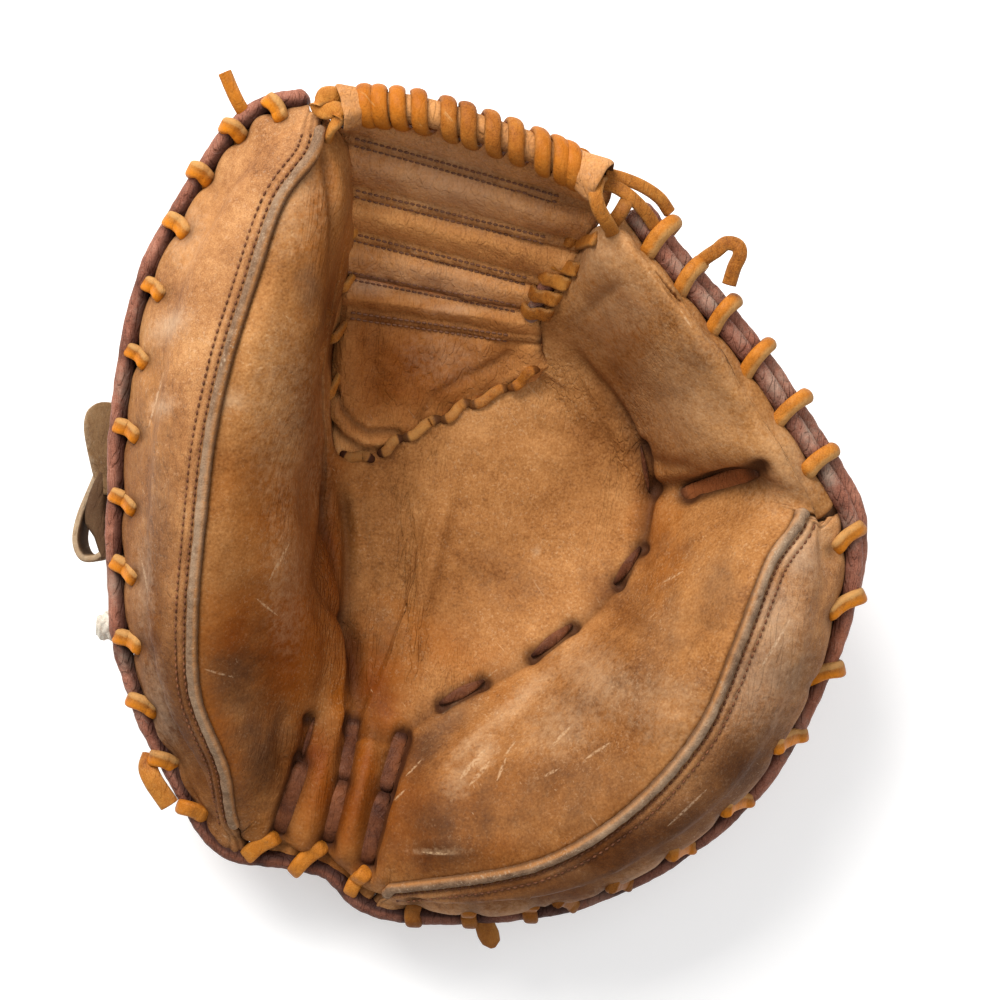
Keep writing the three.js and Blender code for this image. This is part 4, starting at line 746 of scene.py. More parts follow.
# Colours laid over the palm: X, Y, reach, reach, turn, strength
palmMarks = {
    # warm: deeper orange-brown of the polished heel, also laid as painted shade over the lower thumb pad and heel
    "warm": [(-54, -80, 5, 26, 18, 1), (-38, -84, 5, 24, 14, 1), (-46, -60, 5, 20, 0, 0.9),
             (-30, -66, 6, 20, 10, 0.7), (-56, -96, 10, 10, 0, 0.6), (-78, -32, 16, 14, 0, 0.8),
             (-60, -40, 14, 30, 0, 0.9), (-66, -4, 14, 26, 0, 0.6), (-84, -64, 6, 30, 12, 0.8),
             (-44, -96, 22, 18, 0, 0.8), (-44, 40, 9, 30, 0, 0.5), (-48, -20, 6, 34, 0, 0.7),
             (-34, -50, 12, 14, 0, 0.8), (-10, -44, 24, 8, -30, 0.5), (60, -2, 8, 20, 0, 0.4),
             (-48, 86, 8, 26, 0, 0.5), (-90, 30, 8, 40, 0, 0.3), (44, 66, 10, 16, 20, 0.3)],
    "stain": [(28, -84, 22, 14, 24, 0.5), (54, -54, 16, 12, 40, 0.5), (30, -62, 18, 10, 40, 0.35),
              (-77, -50, 8, 14, 0, 0.8), (-71, -72, 9, 16, 10, 0.9), (-16, -72, 6, 20, -42, 0.75),
              (-13, -98, 11, 8, 10, 0.8), (-13, -107, 12, 7, 0, 0.9), (3, -94, 6, 10, 0, 0.55),
              (12, -98, 7, 8, 0, 0.4), (76, -21, 6, 10, -20, 0.6), (60, -36, 8, 14, -20, 0.45),
              (46, -52, 8, 10, -30, 0.4), (62, -10, 8, 5, 0, 0.3), (-52, 72, 3.5, 9, 0, 0.8),
              (44, -22, 10, 6, -40, 0.25), (10, -20, 14, 8, -30, 0.25), (-32, -38, 6, 10, 0, 0.35),
              (-80, -88, 8, 10, 0, 0.5)],
    "pale": [(-60, 100, 12, 14, 0, 0.5), (44, 69, 12, 12, 0, 0.5), (98, 18, 12, 14, 0, 0.45),
             (39, -51, 12, 8, -40, 0.5), (38, 84, 10, 12, 0, 0.5), (-96, 61.5, 6.5, 4, 20, 1),
             (-75.7, 37.6, 5, 3, 0, 0.7), (19.5, -10.2, 1.5, 0.9, 45, 1), (-60, 30, 10, 30, 0, 0.25),
             (66, 40, 14, 22, 30, 0.45), (2, -76, 5, 3, 60, 0.7), (-6, -84, 6, 4, 60, 0.5),
             (14, -60, 16, 2.4, 40, 0.6), (-2, -73, 10, 1.8, 42, 0.55), (-62, -18, 6, 22, 0, 0.3),
             (28, -66, 14, 8, 30, 0.35), (-13, -107, 9, 0.9, 4, 0.35), (60, -60, 12, 12, 0, 0.25),
             (-30, 100, 10, 20, 0, 0.2)],
    "wrinkle": [(-24, -18, 5, 44, 4, 1), (-50, -20, 5, 34, 0, 1), (-16, 24, 6, 14, 12, 0.7),
                (26, 44, 16, 10, -30, 0.7), (-42, -44, 10, 18, 0, 0.7), (48, 20, 5, 34, -16, 0.8),
                (-44, 76, 8, 34, 5, 0.5), (64, 14, 18, 8, 0, 0.5), (-58, 10, 8, 26, 0, 0.4),
                (-60, -78, 20, 18, 0, 0.5), (-10, -50, 14, 10, 0, 0.6), (4, 10, 30, 30, 0, 0.12)],
    # deep: painted shade, darker towards the heel, on the lower thumb pad and in hollows and creases
    "deep": [(-36, -60, 10, 20, 0, 1), (-13, -108, 14, 12, 0, 1), (-14, -98, 40, 26, 10, 0.8),
             (24, -92, 34, 20, 24, 0.6), (-2, -80, 30, 18, 30, 0.5), (50, -66, 26, 22, 34, 0.45),
             (-46, -80, 20, 34, 0, 0.5), (-10, -20, 26, 30, 0, 0.3), (-70, -60, 30, 40, 0, 0.6),
             (-41, -48, 4, 20, 0, 1), (-10, -104, 30, 12, 6, 0.7), (-68, -40, 24, 40, 0, 0.85),
             (-60, -80, 26, 20, 0, 0.9), (-50, -10, 6, 50, 4, 0.9), (-64, 4, 16, 26, 0, 0.5),
             (-82, 20, 12, 60, 4, 0.3), (-56, 44, 8, 30, 0, 0.5), (-46, 62, 5, 44, 4, 0.55),
             (0, -108, 40, 14, 10, 0.8), (-20, -90, 18, 24, 0, 0.85), (-42, -92, 26, 26, 0, 0.85),
             (-34, -54, 16, 20, -20, 0.6), (8, -86, 26, 16, 20, 0.6), (57, 4, 5, 22, 0, 0.6),
             (46, -28, 16, 5, -42, 0.45), (20, -46, 20, 5, -36, 0.4), (44, 46, 9, 22, -24, 0.6),
             (42, 84, 12, 8, 0, 0.3), (40, -90, 30, 10, 24, 0.55), (60, -66, 20, 12, 40, 0.3),
             (-46, 104, 4, 24, 0, 0.35), (-30, 0, 10, 40, 0, 0.3), (-30, 40, 10, 12, 0, 0.45)],
}
palmStrokes = [(-66, -18.4, -60, -7, 0.5), (6, -84, 9, -77, 0.6), (-6, -84, 2, -75, 1.1), (-3, -86, 4, -78, 0.8),
               (8, -77, 12, -72, 0.4), (21, -82, 26, -79, 0.5), (-24, -84, -19, -79, 0.4),
               (-28, -92, -24, -88, 0.4), (-70, -24, -64, -30, 0.4), (62, 66, 66, 60, 0.4),
               (-86, -46, -78, -49, 0.4), (24, -72, 30, -66, 0.6), (-14, -66, 6, -50, 0.6),
               (-18, -107.5, -9, -107.5, 0.5), (60, -20, 66, -16, 0.4), (34, -76, 42, -70, 0.5)]


def foldDepth(points):
    depth = np.zeros(points.shape[:-1])
    for line, wide, deep, fade, unfaded in folds:
        d, place, whole = lineDistance(points[..., :2], smoothLine(line, 4 * len(line)))
        ends = smoothstep(0, fade, place) if unfaded != "start" else 1
        ends = ends * smoothstep(0, fade, whole - place) if unfaded != "end" else ends
        depth += deep * ends * peak(d, wide)
    return depth


# Hollows the dark laces lie in
def laceBeds(points):
    depth = np.zeros(points.shape[:-1])
    for runs in stitches.values():
        for start, end, full in runs:
            d = lineDistance(points[..., :2], (start, end))[0]
            depth = np.maximum(depth, full * peak(d, 0.6 + 2.7 * full, 4))
    return depth


def dimples(points, spots, wide):
    depth = np.zeros(points.shape[:-1])
    for x, y in spots:
        depth = np.maximum(depth, peak(np.hypot(points[..., 0] - x, points[..., 1] - y), wide))
    return depth


# 1 half way between two loops of the rim lace, 0 at a loop
def betweenLoops(rows):
    near = np.abs(np.asarray(rows)[:, None] - np.array(loopRows)[None, :])
    room = np.interp(rows, loopRows, np.gradient(loopRows)) / 2
    return smoothstep(0, 1, near.min(axis=1) / np.clip(room, 0.1, 0.32))


# Height left at a share of the way over a rounded wall
def roundFall(share):
    return (1 - np.clip(share, 0, 1) ** 2.4) ** 0.62


edgeForm = {  # how the leather meets its binding
    "waviness": ((0, 8, 9.2, 13, 14, 20.4), (0.25, 0.25, 0.8, 0.8, 0.2, 0.15)),  # how far the edge follows the loops
    "waveReach": 7.0, "reach": 0.55, "heelReach": 1.7, "close": 3, "rimRoll": 2.2, "rimDeep": 1.2, "leastThick": 0.6,
}


# Bulges between the loops and falls at them, then how far the edge moves out to the binding
def edgeShape(rows, rimGap):
    flat = np.interp(rows, *edgeForm["waviness"])[:, None]
    between = betweenLoops(rows)[:, None]
    bulge = flat * between * smoothstep(edgeForm["waveReach"], 0, rimGap)
    fall = flat * (1 - between) * smoothstep(0.7 * edgeForm["waveReach"], 0, rimGap)
    close = smoothstep(edgeForm["close"], 0.5, rimGap)
    heel = edgeForm["heelReach"] * within(rows, 7.6, 8.4, 13.6, 14.4)
    return bulge - fall, edgeForm["reach"] * close + 0.5 * (bulge - fall) + heel[:, None] * close


# Length over a grid from one of its columns
def planGap(grid, column):
    steps = np.linalg.norm(np.diff(grid, axis=1), axis=2)
    length = np.concatenate([np.zeros((len(grid), 1)), np.cumsum(steps, axis=1)], axis=1)
    return np.abs(length - length[:, column][:, None])


# Moves a grid along its normals by lift, outward by moved and down by drop
def shaped(grid, rows, lift, moved, drop):
    top = grid + upNormals(grid) * lift[..., None] + outward(rows)[:, None] * moved[..., None]
    top[..., 2] -= drop
    return top


# An underside at the given heights, at least a leather's thickness below the top
def undersideOf(plan, heights, top):
    heights = np.minimum(heights, top[..., 2] - edgeForm["leastThick"])
    return np.concatenate([plan[..., :2], heights[..., None]], axis=-1)


palmShape = {"rows": 481, "cols": (58, 26, 44), "edgeRoll": 3.4, "edgeDeep": 3.2, "step": 2, "crease": 1.1,
             "bed": 1.5, "hole": 1.8, "wave": 0.9}
roundRim = {"from": 20.0, "full": 21.2, "wide": 16, "share": 0.75}  # the finger pad stays round up to its own rim
softFloor = {"from": -4, "reach": 2.6}  # folds end inside the padding
rows = np.linspace(0, lastRow, palmShape["rows"])
edge = np.interp(rows, *palmEdge)
toFoot, toCrown, toEdge = palmShape["cols"]
share = np.concatenate([np.linspace(0, 1, toFoot, endpoint=False), np.linspace(1, 2, toCrown, endpoint=False)])
rest = np.linspace(0, 1, toEdge + 1)
rest = 0.55 * rest + 0.45 * np.sin(rest * math.pi / 2)
across = np.concatenate([np.broadcast_to(share, (len(rows), len(share))),
                         2 + rest[None, :] * (edge[:, None] - 2)], axis=1)
grid, under = panelGrid(rows, across)
edgeGap, innerGap = planGap(grid, -1), planGap(grid, 0)
for k in np.nonzero(rows > roundRim["from"])[0]:
    last = (edgeGap[k] < roundRim["wide"]) & (across[k] > 2)
    high, low = grid[k, last, 2][0], grid[k, -1, 2]
    full = low + (high - low) * roundFall(1 - edgeGap[k, last] / roundRim["wide"])
    blendIn = roundRim["share"] * smoothstep(roundRim["from"], roundRim["full"], rows[k])
    grid[k, last, 2] += blendIn * np.maximum(full - grid[k, last, 2], 0)
atSeam = smoothstep(5.8, 5.2, edge)[:, None]
atRim = 1 - atSeam
drop = atSeam * palmShape["edgeDeep"] * edgeDrop(edgeGap, palmShape["edgeRoll"]) \
    + atRim * edgeForm["rimDeep"] * edgeDrop(edgeGap, edgeForm["rimRoll"])
lift = 0.55 * lumps(grid, 46, 3) + 0.22 * lumps(grid, 17, 4) + 0.07 * lumps(grid, 6, 5)
lift *= smoothstep(0, 7, edgeGap) * smoothstep(0, 5, innerGap)
lift += sum(swell[-1] * spotMask(grid, [(*swell[:-1], 1)]) for swell in swells) * smoothstep(0, 9, edgeGap)
foldMask = foldDepth(grid)
footCrease = peak(across - 1.02, 0.045) * within(rows, 2.2, 3.4, 21.6, 22.6)[:, None]
bed = laceBeds(grid)
holeMask = dimples(grid, stitchHoles, 2.4)
loopMask = dimples(grid, loopHoles, 3.2) * atRim * (1 - 0.7 * smoothstep(20, 21.2, rows)[:, None])
wave, moved = edgeShape(rows, edgeGap)
lift += atRim * palmShape["wave"] * wave - foldMask - palmShape["crease"] * footCrease - palmShape["bed"] * bed \
    - palmShape["hole"] * (holeMask + loopMask)
past = np.minimum(lift - softFloor["from"], 0)
lift = np.where(past < 0, softFloor["from"] + softFloor["reach"] * (np.exp(past / softFloor["reach"]) - 1), lift)
top = shaped(grid, rows, lift, atRim * moved, drop)
palmMasks = {key: spotMask(grid, spots) for key, spots in palmMarks.items()}
# Dirt and painted shade in the folds, lace beds, holes and foot crease, and along the seam and the web edge
palmMasks["dirtAndShade"] = np.clip(0.55 * np.clip(foldMask / 3.4, 0, 1) + 0.7 * bed + 0.75 * holeMask + 0.55 * loopMask
                            + 0.45 * footCrease + 0.6 * atSeam * smoothstep(3.2, 0.4, edgeGap)
                            + 0.4 * smoothstep(2.5, 0.0, innerGap), 0, 1)
palm = sheetPiece("palm", top, undersideOf(grid, under, top), palmShape["step"],
                  leather("palmLeather", {**looks["palm"], "strokes": palmStrokes}), palmMasks)
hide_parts("palm_pad")
palmTree = treeOf(palm)
print("palm ready", len(palm.data.polygons))

# Side panels from the piping down to the rim
sideMarks = {
    "warm": [(-92, 100, 10, 16, 0, 0.5), (98, 12, 10, 16, 0, 0.6), (-104, 40, 8, 20, 0, 0.4)],
    "stain": [(-100, -60, 12, 26, 0, 0.5), (40, -106, 30, 10, 20, 0.6), (-100, 0, 6, 30, 0, 0.5),
              (-98, -50, 8, 20, 0, 0.5), (80, -76, 10, 20, -35, 0.8), (88, 8, 5, 6, 0, 0.6),
              (60, -96, 20, 6, 30, 0.7), (96, -44, 8, 10, 0, 0.6), (104, -16, 5, 8, 0, 0.4),
              (-106, 30, 6, 14, 0, 0.3)],
    "pale": [(-96, 61.5, 7, 4, 20, 1), (-98, 36, 5, 3, 0, 0.7), (100, -6, 8, 10, 0, 0.9),
             (92, -30, 8, 12, -20, 0.7), (-106, -20, 4, 14, 0, 0.5), (-92, 92, 6, 10, 0, 0.4),
             (-104, -62, 5, 16, 0, 0.45), (14, -124, 34, 3, 6, 0.4), (52, -110, 22, 3, 28, 0.45),
             (76, -94, 16, 3, 42, 0.4), (86, -48, 12, 14, -30, 0.5)],
    "wrinkle": [(-100, 20, 14, 70, 0, 0.5), (90, -50, 30, 40, 0, 0.3)],
    # deep: painted shade over the lower side walls, darker towards the heel
    "deep": [(-104, -32, 8, 28, 0, 1), (40, -104, 20, 10, 20, 1), (-98, -60, 14, 34, 0, 0.9),
             (-92, -84, 12, 16, 0, 0.8), (-100, -50, 16, 30, 0, 0.7), (-86, -84, 18, 20, 0, 0.9),
             (-112, 0, 6, 50, 0, 0.5), (24, -116, 40, 8, 6, 0.95), (60, -96, 24, 8, 30, 0.95),
             (80, -74, 10, 24, -35, 0.8), (96, -50, 14, 20, -30, 0.6), (-96, 0, 10, 40, 0, 0.3)],
}
sideStrokes = [(-104, 30, -98, 48, 0.6), (98, -30, 88, -46, 0.6), (-108, -10, -104, -26, 0.5),
               (60, -96, 72, -84, 0.5)]
sideShape = {"cols": 41, "edgeRoll": 3.0, "edgeDeep": 2.8, "hole": 1.4, "strip": 0.5, "wave": 0.9, "step": 2,
             "hang": 5.0, "tuck": 0.45, "sewn": (2.7, 5.5)}  # hang: the lower wall hangs over its rim
sidePanels = {
    "thumbSide": {"from": 0, "to": 10.45, "rows": 281, "node": "thumb_side_panel", "round": 0.6},
    "fingerSide": {"from": 13.06, "to": 20.3, "rows": 241, "node": "finger_side_panel", "round": 0.8},
}
leatherSide = leather("sideLeather", {**looks["side"], "strokes": sideStrokes})
sidePieces = []
for name, cut in sidePanels.items():
    rows = np.linspace(cut["from"], cut["to"], cut["rows"])
    edge = np.interp(rows, *palmEdge)
    share = np.linspace(0, 1, sideShape["cols"])
    share = share - 0.12 * np.sin(share * 2 * math.pi)
    grid, under = panelGrid(rows, edge[:, None] + share[None, :] * (6 - edge[:, None]))
    way = planGap(grid * (1, 1, 0), 0)
    way /= way[:, -1:]
    for k in range(len(rows)):  # even columns in plan, and a round wall
        under[k] = np.interp(share, way[k], under[k])
        grid[k] = np.stack([np.interp(share, way[k], grid[k, :, j]) for j in range(3)], axis=1)
    high, low = grid[:, :1, 2], grid[:, -1:, 2]
    grid[..., 2] += cut["round"] * (low + (high - low) * roundFall(share)[None, :] - grid[..., 2])
    seamGap, rimGap = planGap(grid, 0), planGap(grid, -1)
    drop = sideShape["edgeDeep"] * edgeDrop(seamGap, sideShape["edgeRoll"]) \
        + edgeForm["rimDeep"] * edgeDrop(rimGap, edgeForm["rimRoll"])
    lift = (0.3 * lumps(grid, 26, 8) + 0.12 * lumps(grid, 9, 9)) * smoothstep(0, 6, seamGap)
    loopMask = dimples(grid, loopHoles, 3.4)
    near, far = sideShape["sewn"]
    strip = 0.9 * peak(seamGap - 4.1, 0.85) - 0.7 * peak(seamGap - far, 0.5) - 0.6 * peak(seamGap - near, 0.5)
    wave, moved = edgeShape(rows, rimGap)
    lift = lift - sideShape["hole"] * loopMask + sideShape["strip"] * strip + sideShape["wave"] * wave
    overhang = sideShape["hang"] * within(rows, 13.4, 14.6, 18.0, 19.8)
    moved = moved + overhang[:, None] * np.sin(share**2.5 * math.pi)[None, :]
    top = shaped(grid, rows, lift, moved, drop)
    top[:, 0, :2] += sideShape["tuck"] * unit((grid[:, 1] - grid[:, 0])[:, :2])
    masks = {key: spotMask(grid, spots) for key, spots in sideMarks.items()}
    # Painted shade in the stitch grooves, at the lace holes and along the seam and the rim
    stitchGrooveShade = peak(seamGap - far, 0.6) + peak(seamGap - near, 0.6)
    masks["dirtAndShade"] = np.clip(0.7 * smoothstep(2.2, 0.4, seamGap) + 0.6 * loopMask + 0.5 * stitchGrooveShade
                            + 0.7 * smoothstep(2.2, 0.2, rimGap), 0, 1)
    piece = sheetPiece(name, top, undersideOf(top, under, top), sideShape["step"], leatherSide, masks)
    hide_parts(cut["node"])
    sidePieces.append(piece)
sideTree = treeOf(palm, *sidePieces)
print("sides ready")

skins = {name: leather(name + "Leather", looks[name]) for name in
         ("welt", "binding", "rawhide", "darkLace", "suede", "fleece", "thread", "web", "back")}

# Piping in the long seams, with the two rows of stitching beside it
welts = {
    "thumbWelt": {"from": 0.3, "to": 9.9, "steps": 420, "node": "thumb_welt"},
    "fingerWelt": {"from": 13.35, "to": 20.1, "steps": 340, "node": "finger_welt"},
}
weltForm = {"radius": 1.9, "proud": 0.6, "round": 2.5, "sides": 18}
weltRubs = [(-66, 112, 10, 20, 0, 0.5), (-84, 0, 10, 30, 0, 0.4), (92, 0, 12, 30, 0, 0.6), (60, -70, 20, 20, 0, 0.5),
            (40, -92, 20, 12, 0, 0.4), (-86, -60, 10, 20, 0, 0.4)]
stitchForm = {"rows": (3.1, 6.2), "long": 1.7, "space": 2.3, "radius": 0.36, "shift": 0.2, "share": 0.88}
for name, run in welts.items():
    rows = np.linspace(run["from"], run["to"], run["steps"])
    path = resample(seamLine(rows), run["steps"])
    path[:, 2] += weltForm["proud"]
    radius = weltForm["radius"] * (1 + 0.05 * lumps(path, 9, 21) + 0.04 * lumps(path, 3.2, 22))
    rings = tubeRings(path, taper(path, radius, weltForm["round"]), weltForm["sides"])
    lean = facingOut(rings, path, rows) / weltForm["radius"]
    # Darker and warmer on the side that faces the palm
    Builder().add(rings, {"pale": spotMask(path, weltRubs)[:, None], "dirtAndShade": 0.75 * smoothstep(-0.35, -0.9, lean),
                          "warm": 0.8 * smoothstep(0.1, -0.35, lean)}).finish(name, "welt", "welt_leather", run["node"])
    sew = Builder()
    rows = np.linspace(run["from"] + 0.1, run["to"] - 0.1, 900)
    line = seamLine(rows)
    length = runLength(line)
    tangent = unit(np.gradient(line[:, :2], axis=0))
    outSide = np.stack([tangent[:, 1], -tangent[:, 0]], axis=1)
    outSide *= np.sign(np.sum(outSide * outward(rows)[:, :2], axis=1, keepdims=True))
    s = np.linspace(0, stitchForm["long"], 4)
    sink = 0.2 * np.cos(s / stitchForm["long"] * 2 * math.pi) - 0.02
    for away in stitchForm["rows"]:
        for start in np.arange(1.0, length[-1] - 2, stitchForm["space"]):
            at = start + s + away * stitchForm["shift"]
            x, y = (np.interp(at, length, line[:, k])
                    + np.interp(at, length, outSide[:, k]) * away * stitchForm["share"] for k in (0, 1))
            z = np.array([heightOn(sideTree, *spot) for spot in zip(x, y)]) + 0.12 - sink
            put = np.stack([x, y, z], axis=1)
            sew.add(tubeRings(put, taper(put, np.full(4, stitchForm["radius"]), 0.4), 5), {"dirtAndShade": 0.0})
    sew.finish(name + "Stitching", "thread", "welt_leather")
print("piping ready")

# Rolled bindings outside the rim
bindingForm = {"radius": 2.95, "out": 3.35, "shift": 3, "rise": 0.7, "rows": 42, "pinch": 0.12, "sides": 20,
               "pale": {"palmBinding": 0.85, "thumbBackBinding": 0.3, "fingerBackBinding": 0.3}}
wornPlaces = [(-103.6, 66, 4, 5, 0, 1), (-111, 42, 4, 6, 0, 1), (66, 80, 5, 4, 0, 1), (75, 70, 5, 5, 0, 1),
              (58, 100, 5, 3, -40, 0.9), (50, 93, 3, 3, 0, 0.8), (96, 46, 5, 7, 0, 1), (106, 29, 4, 5, 0, 0.8),
              (111, 15, 3, 6, 0, 0.9), (118, -2, 4, 6, 0, 0.5), (-118, -20, 4, 5, 0, 0.7),
              (-114, -44, 4, 5, 0, 0.8), (-112, -60, 5, 5, 0, 0.5), (40, -122, 8, 5, 0, 0.5),
              (100, -68, 6, 8, 0, 0.5), (84, 60, 3, 4, 0, 0.5)]


def backShift(rows):
    return bindingForm["shift"] * smoothstep(18.4, 20.6, rows)


bindings = {
    "palmBinding": {"from": 0, "to": 25, "drop": 0.7, "aside": 0, "node": "rim_binding_palm"},
    "thumbBackBinding": {"from": 0, "to": 7.4, "drop": 7, "aside": 0, "node": "rim_binding_thumb_back"},
    "fingerBackBinding": {"from": 13, "to": 25, "drop": 7, "aside": 1.25, "node": "rim_binding_finger_back"},
}
for name, run in bindings.items():
    rows = np.linspace(run["from"], run["to"], int(bindingForm["rows"] * (run["to"] - run["from"])))
    aside = run["aside"] * backShift(rows)
    path = rail("rim", rows) + outward(rows) * (bindingForm["out"] + aside)[:, None]
    path[:, 2] -= run["drop"] - bindingForm["rise"] * aside
    pinch = sum(peak(rows - r, bindingForm["pinch"]) for r in loopRows)
    radius = bindingForm["radius"] * (1 + 0.04 * lumps(path, 14, 31) + 0.03 * lumps(path, 4, 32) - 0.07 * pinch)
    path = path + np.stack([lumps(path, 30, 33), lumps(path, 30, 34), lumps(path, 26, 35)], axis=1) * 0.3
    rings = tubeRings(path, taper(path, radius, 2.5), bindingForm["sides"])
    # Painted shade on the side facing the leather and where the loops pinch it, and darker along the heel end
    facing = facingOut(rings, path, rows) / radius[:, None]
    shade = smoothstep(0.25, -0.5, facing) * (1 - 0.5 * smoothstep(16, 20, rows)[:, None])
    low = 0.45 * within(rows, 8, 10, 16, 17.6)
    Builder().add(rings, {
        "pale": bindingForm["pale"][name] * spotMask(rings, wornPlaces),
        "dirtAndShade": np.clip(0.5 * np.clip(pinch, 0, 1)[:, None] + 0.85 * shade + low[:, None], 0, 1),
        "warm": spotMask(rings, [(-70, -108, 30, 12, 0, 0.5), (110, -40, 14, 20, 0, 0.4)]),
        "wrinkle": 0.6}).finish(name, "binding", "binding_leather", run["node"])
print("bindings ready")

# Rawhide whipped round the rim, one loop at each of the rows in the photo
rimLace = {"wide": 5.3, "thick": 3.2, "steps": 5, "bow": 0.9, "end": 1.3, "above": 1.2, "crown": 3.4, "sides": 24,
           "square": (0.55, 1.0)}  # corners of the flat laces and of the round ones on the finger side
rimTurn = [  # share of the way from the hole to the turn, height above the rim
    (-0.02, -3.4), (-0.02, -0.6), (0.1, 1.3), (0.3, 2.7), (0.52, 3.4), (0.75, 3.2), (0.95, 1.6), (1.02, -1.4),
    (1.0, -6.6), (0.75, -10.4), (0.3, -10.8), (0.02, -9.2),
]
rimTurnOpen = rimTurn[:7] + [(1.02, -1.2), (0.98, -4.2), (0.75, -5.7), (0.35, -5.5), (0.02, -4.9)]
rimTilt = ((0, 8.5, 10, 13.5, 15, 16.5, 20.2, 21.5, 25), (0.45, 0.45, 0.3, 0.2, 0.1, 0.5, 0.5, 0.2, 0.15))
mostLift = ((0, 14.6, 15.4, 19.6, 20.4), (7, 7, 16, 16, 2.2))  # how far a loop may rise to lie on the leather
rimRuns = {"thumbRimLace": (0, 9.1, "thumb_rim_lace"), "heelRimLace": (9.1, 14.5, "heel_rim_lace"),
           "fingerRimLace": (14.5, 25, "finger_rim_lace")}
for name, (first, last, node) in rimRuns.items():
    points, ways = [], []
    loops = [loop for loop in rimLoops if first <= loop[0] < last]
    for r, hole, turnAt in loops:
        hole, reach = np.array(hole), np.array(turnAt) - np.array(hole)
        length = np.hypot(*reach)
        inset = min(rimLace["end"] / length, 0.2)  # half the lace, as the marks are its outer ends
        rim = rail("rim", [r])[0]
        way = reach / length
        hole = hole - way * (1.8 if r < 9.2 else 0)
        tilt = float(np.interp(r, *rimTilt))
        for share, rise in (rimTurnOpen if 7.4 < r < 13 else rimTurn):
            x, y = hole + reach * (inset + share * (1 - 2 * inset))
            z = rim[2] + rise
            if rise > 0 and share < (0.6 if 15 < r < 20 else 0.5):
                onTop = heightOn(sideTree, x, y, rim[2]) + rimLace["above"]
                z = np.clip(onTop, z - 0.5, z + np.interp(r, *mostLift))
                if share > 0.2:
                    z = max(z, (points[-1][2] + rim[2] + rimLace["crown"]) / 2)
            bow = rimLace["bow"] * math.sin(math.pi * min(max(share, 0), 1)) if rise > 0 else 0
            x, y = x - abs(way[1]) * bow * np.sign(way[0] * way[1]), y + abs(way[0]) * bow
            points.append((x, y, z))
            ways.append((-way[1], way[0], -tilt if way[0] < 0 else tilt))
    places = np.linspace(0, len(points) - 1, (len(points) - 1) * rimLace["steps"] + 1)
    path, ways = catmull(points, places), catmull(ways, places)
    wide = rimLace["wide"] * (1 + 0.05 * lumps(path, 20, 41))
    rows = np.interp(places, np.arange(0, len(points), len(rimTurn)) + 4, [loop[0] for loop in loops])
    flat, full = (strapRings(path, ways, wide, rimLace["thick"] + more, rimLace["sides"], square)[0]
                  for more, square in zip((0, 0.4), rimLace["square"]))
    rings = flat + smoothstep(19.2, 21, rows)[:, None, None] * (full - flat)
    side = sideOf(ways, along(path))
    height = np.sum((rings - path[:, None]) * side[:, None], axis=2) / (rimLace["wide"] / 2)
    height = height * np.sign(side[:, 1:2] + 1e-6)  # 1 at the upper edge in the photo, -1 at the lower
    turnPlace = places[:, None] % len(rimTurn)
    rows = rows[:, None]
    # Painted shade where each loop goes into its hole and on the outer end and underside of each turn from the heel on;
    # darker along the heel and in a thin line along the middle of the flat loops
    inHole = np.clip(1 - np.abs(turnPlace - 0.4) / 1.3, 0, 1)
    heel = within(rows, 12.9, 13.6, 15.6, 16.8)
    shade = smoothstep(4.5, 7.5, turnPlace) * smoothstep(13, 16, rows) * 0.45
    flat = smoothstep(9.4, 8.6, rows) + within(rows, 15.8, 16.6, 19.6, 20.8)
    # Pale wear along the upper edge of the flat loops, and a painted highlight along the lower edge of the round
    # finger-side loops
    upper = flat * smoothstep(0.3, 0.6, height) + 1.1 * smoothstep(19.8, 21, rows) * smoothstep(0.05, -0.45, height)
    Builder().add(rings, {
        "pale": np.clip(upper, 0, 1), "warm": flat * smoothstep(0.35, 0.1, height) + 0.25 * (1 - flat),
        "dirtAndShade": np.clip(0.9 * inHole + 0.55 * heel + shade + 0.4 * flat * peak(height - 0.1, 0.16), 0, 1),
        "wrinkle": 0.2}).finish(name, "rawhide", "rawhide_lace", node)
print("rim lace ready")

# Dark laces woven through the palm
wovenLace = {"wide": 5.7, "thick": 2.0, "proud": 0.65, "sink": -2.2, "steps": 31, "beyond": 0.04}
wovenNames = {"pocket_lace": "pocketLace", "heel_lace_left": "heelLaceLeft", "heel_lace_middle": "heelLaceMiddle",
              "heel_lace_right": "heelLaceRight"}
for node, runs in stitches.items():
    lace = Builder()
    for start, end, full in runs:
        start, reach = np.array(start), np.array(end) - np.array(start)
        share = np.linspace(-wovenLace["beyond"], 1 + wovenLace["beyond"], wovenLace["steps"])
        flat = start + reach * share[:, None]
        high = np.array([heightOn(palmTree, x, y) for x, y in flat])
        high[2:-2] = np.convolve(high, np.ones(5) / 5, "valid")
        ends = np.clip(np.minimum(share, 1 - share), 0, 1) * np.linalg.norm(reach)
        proud = wovenLace["proud"] * np.clip(ends / 2.6, 0, 1) ** 0.6
        high += np.where((share < 0) | (share > 1), wovenLace["sink"], proud)
        slim = 0.3 + 0.7 * np.sin(np.clip(share, 0, 1) * math.pi)
        if full > 0.9:
            slim = 0.84 + 0.16 * smoothstep(0, 3.5, ends)
        path = np.concatenate([flat, high[:, None]], axis=1)
        rings, edgeMask = strapRings(path, (-reach[1], reach[0], 0), wovenLace["wide"] * full * slim,
                                     wovenLace["thick"], 14, 0.7)
        # Painted shade at the ends where the laces sink into the palm
        lace.add(rings, {"pale": 0.35 * edgeMask, "dirtAndShade": 0.85 * (1 - smoothstep(0, 3, ends))[:, None],
                         "warm": 1.0 if full > 1 else 0.15, "wrinkle": 0.4})
    lace.finish(wovenNames[node], "darkLace", "dark_lace", node)
print("palm laces ready")

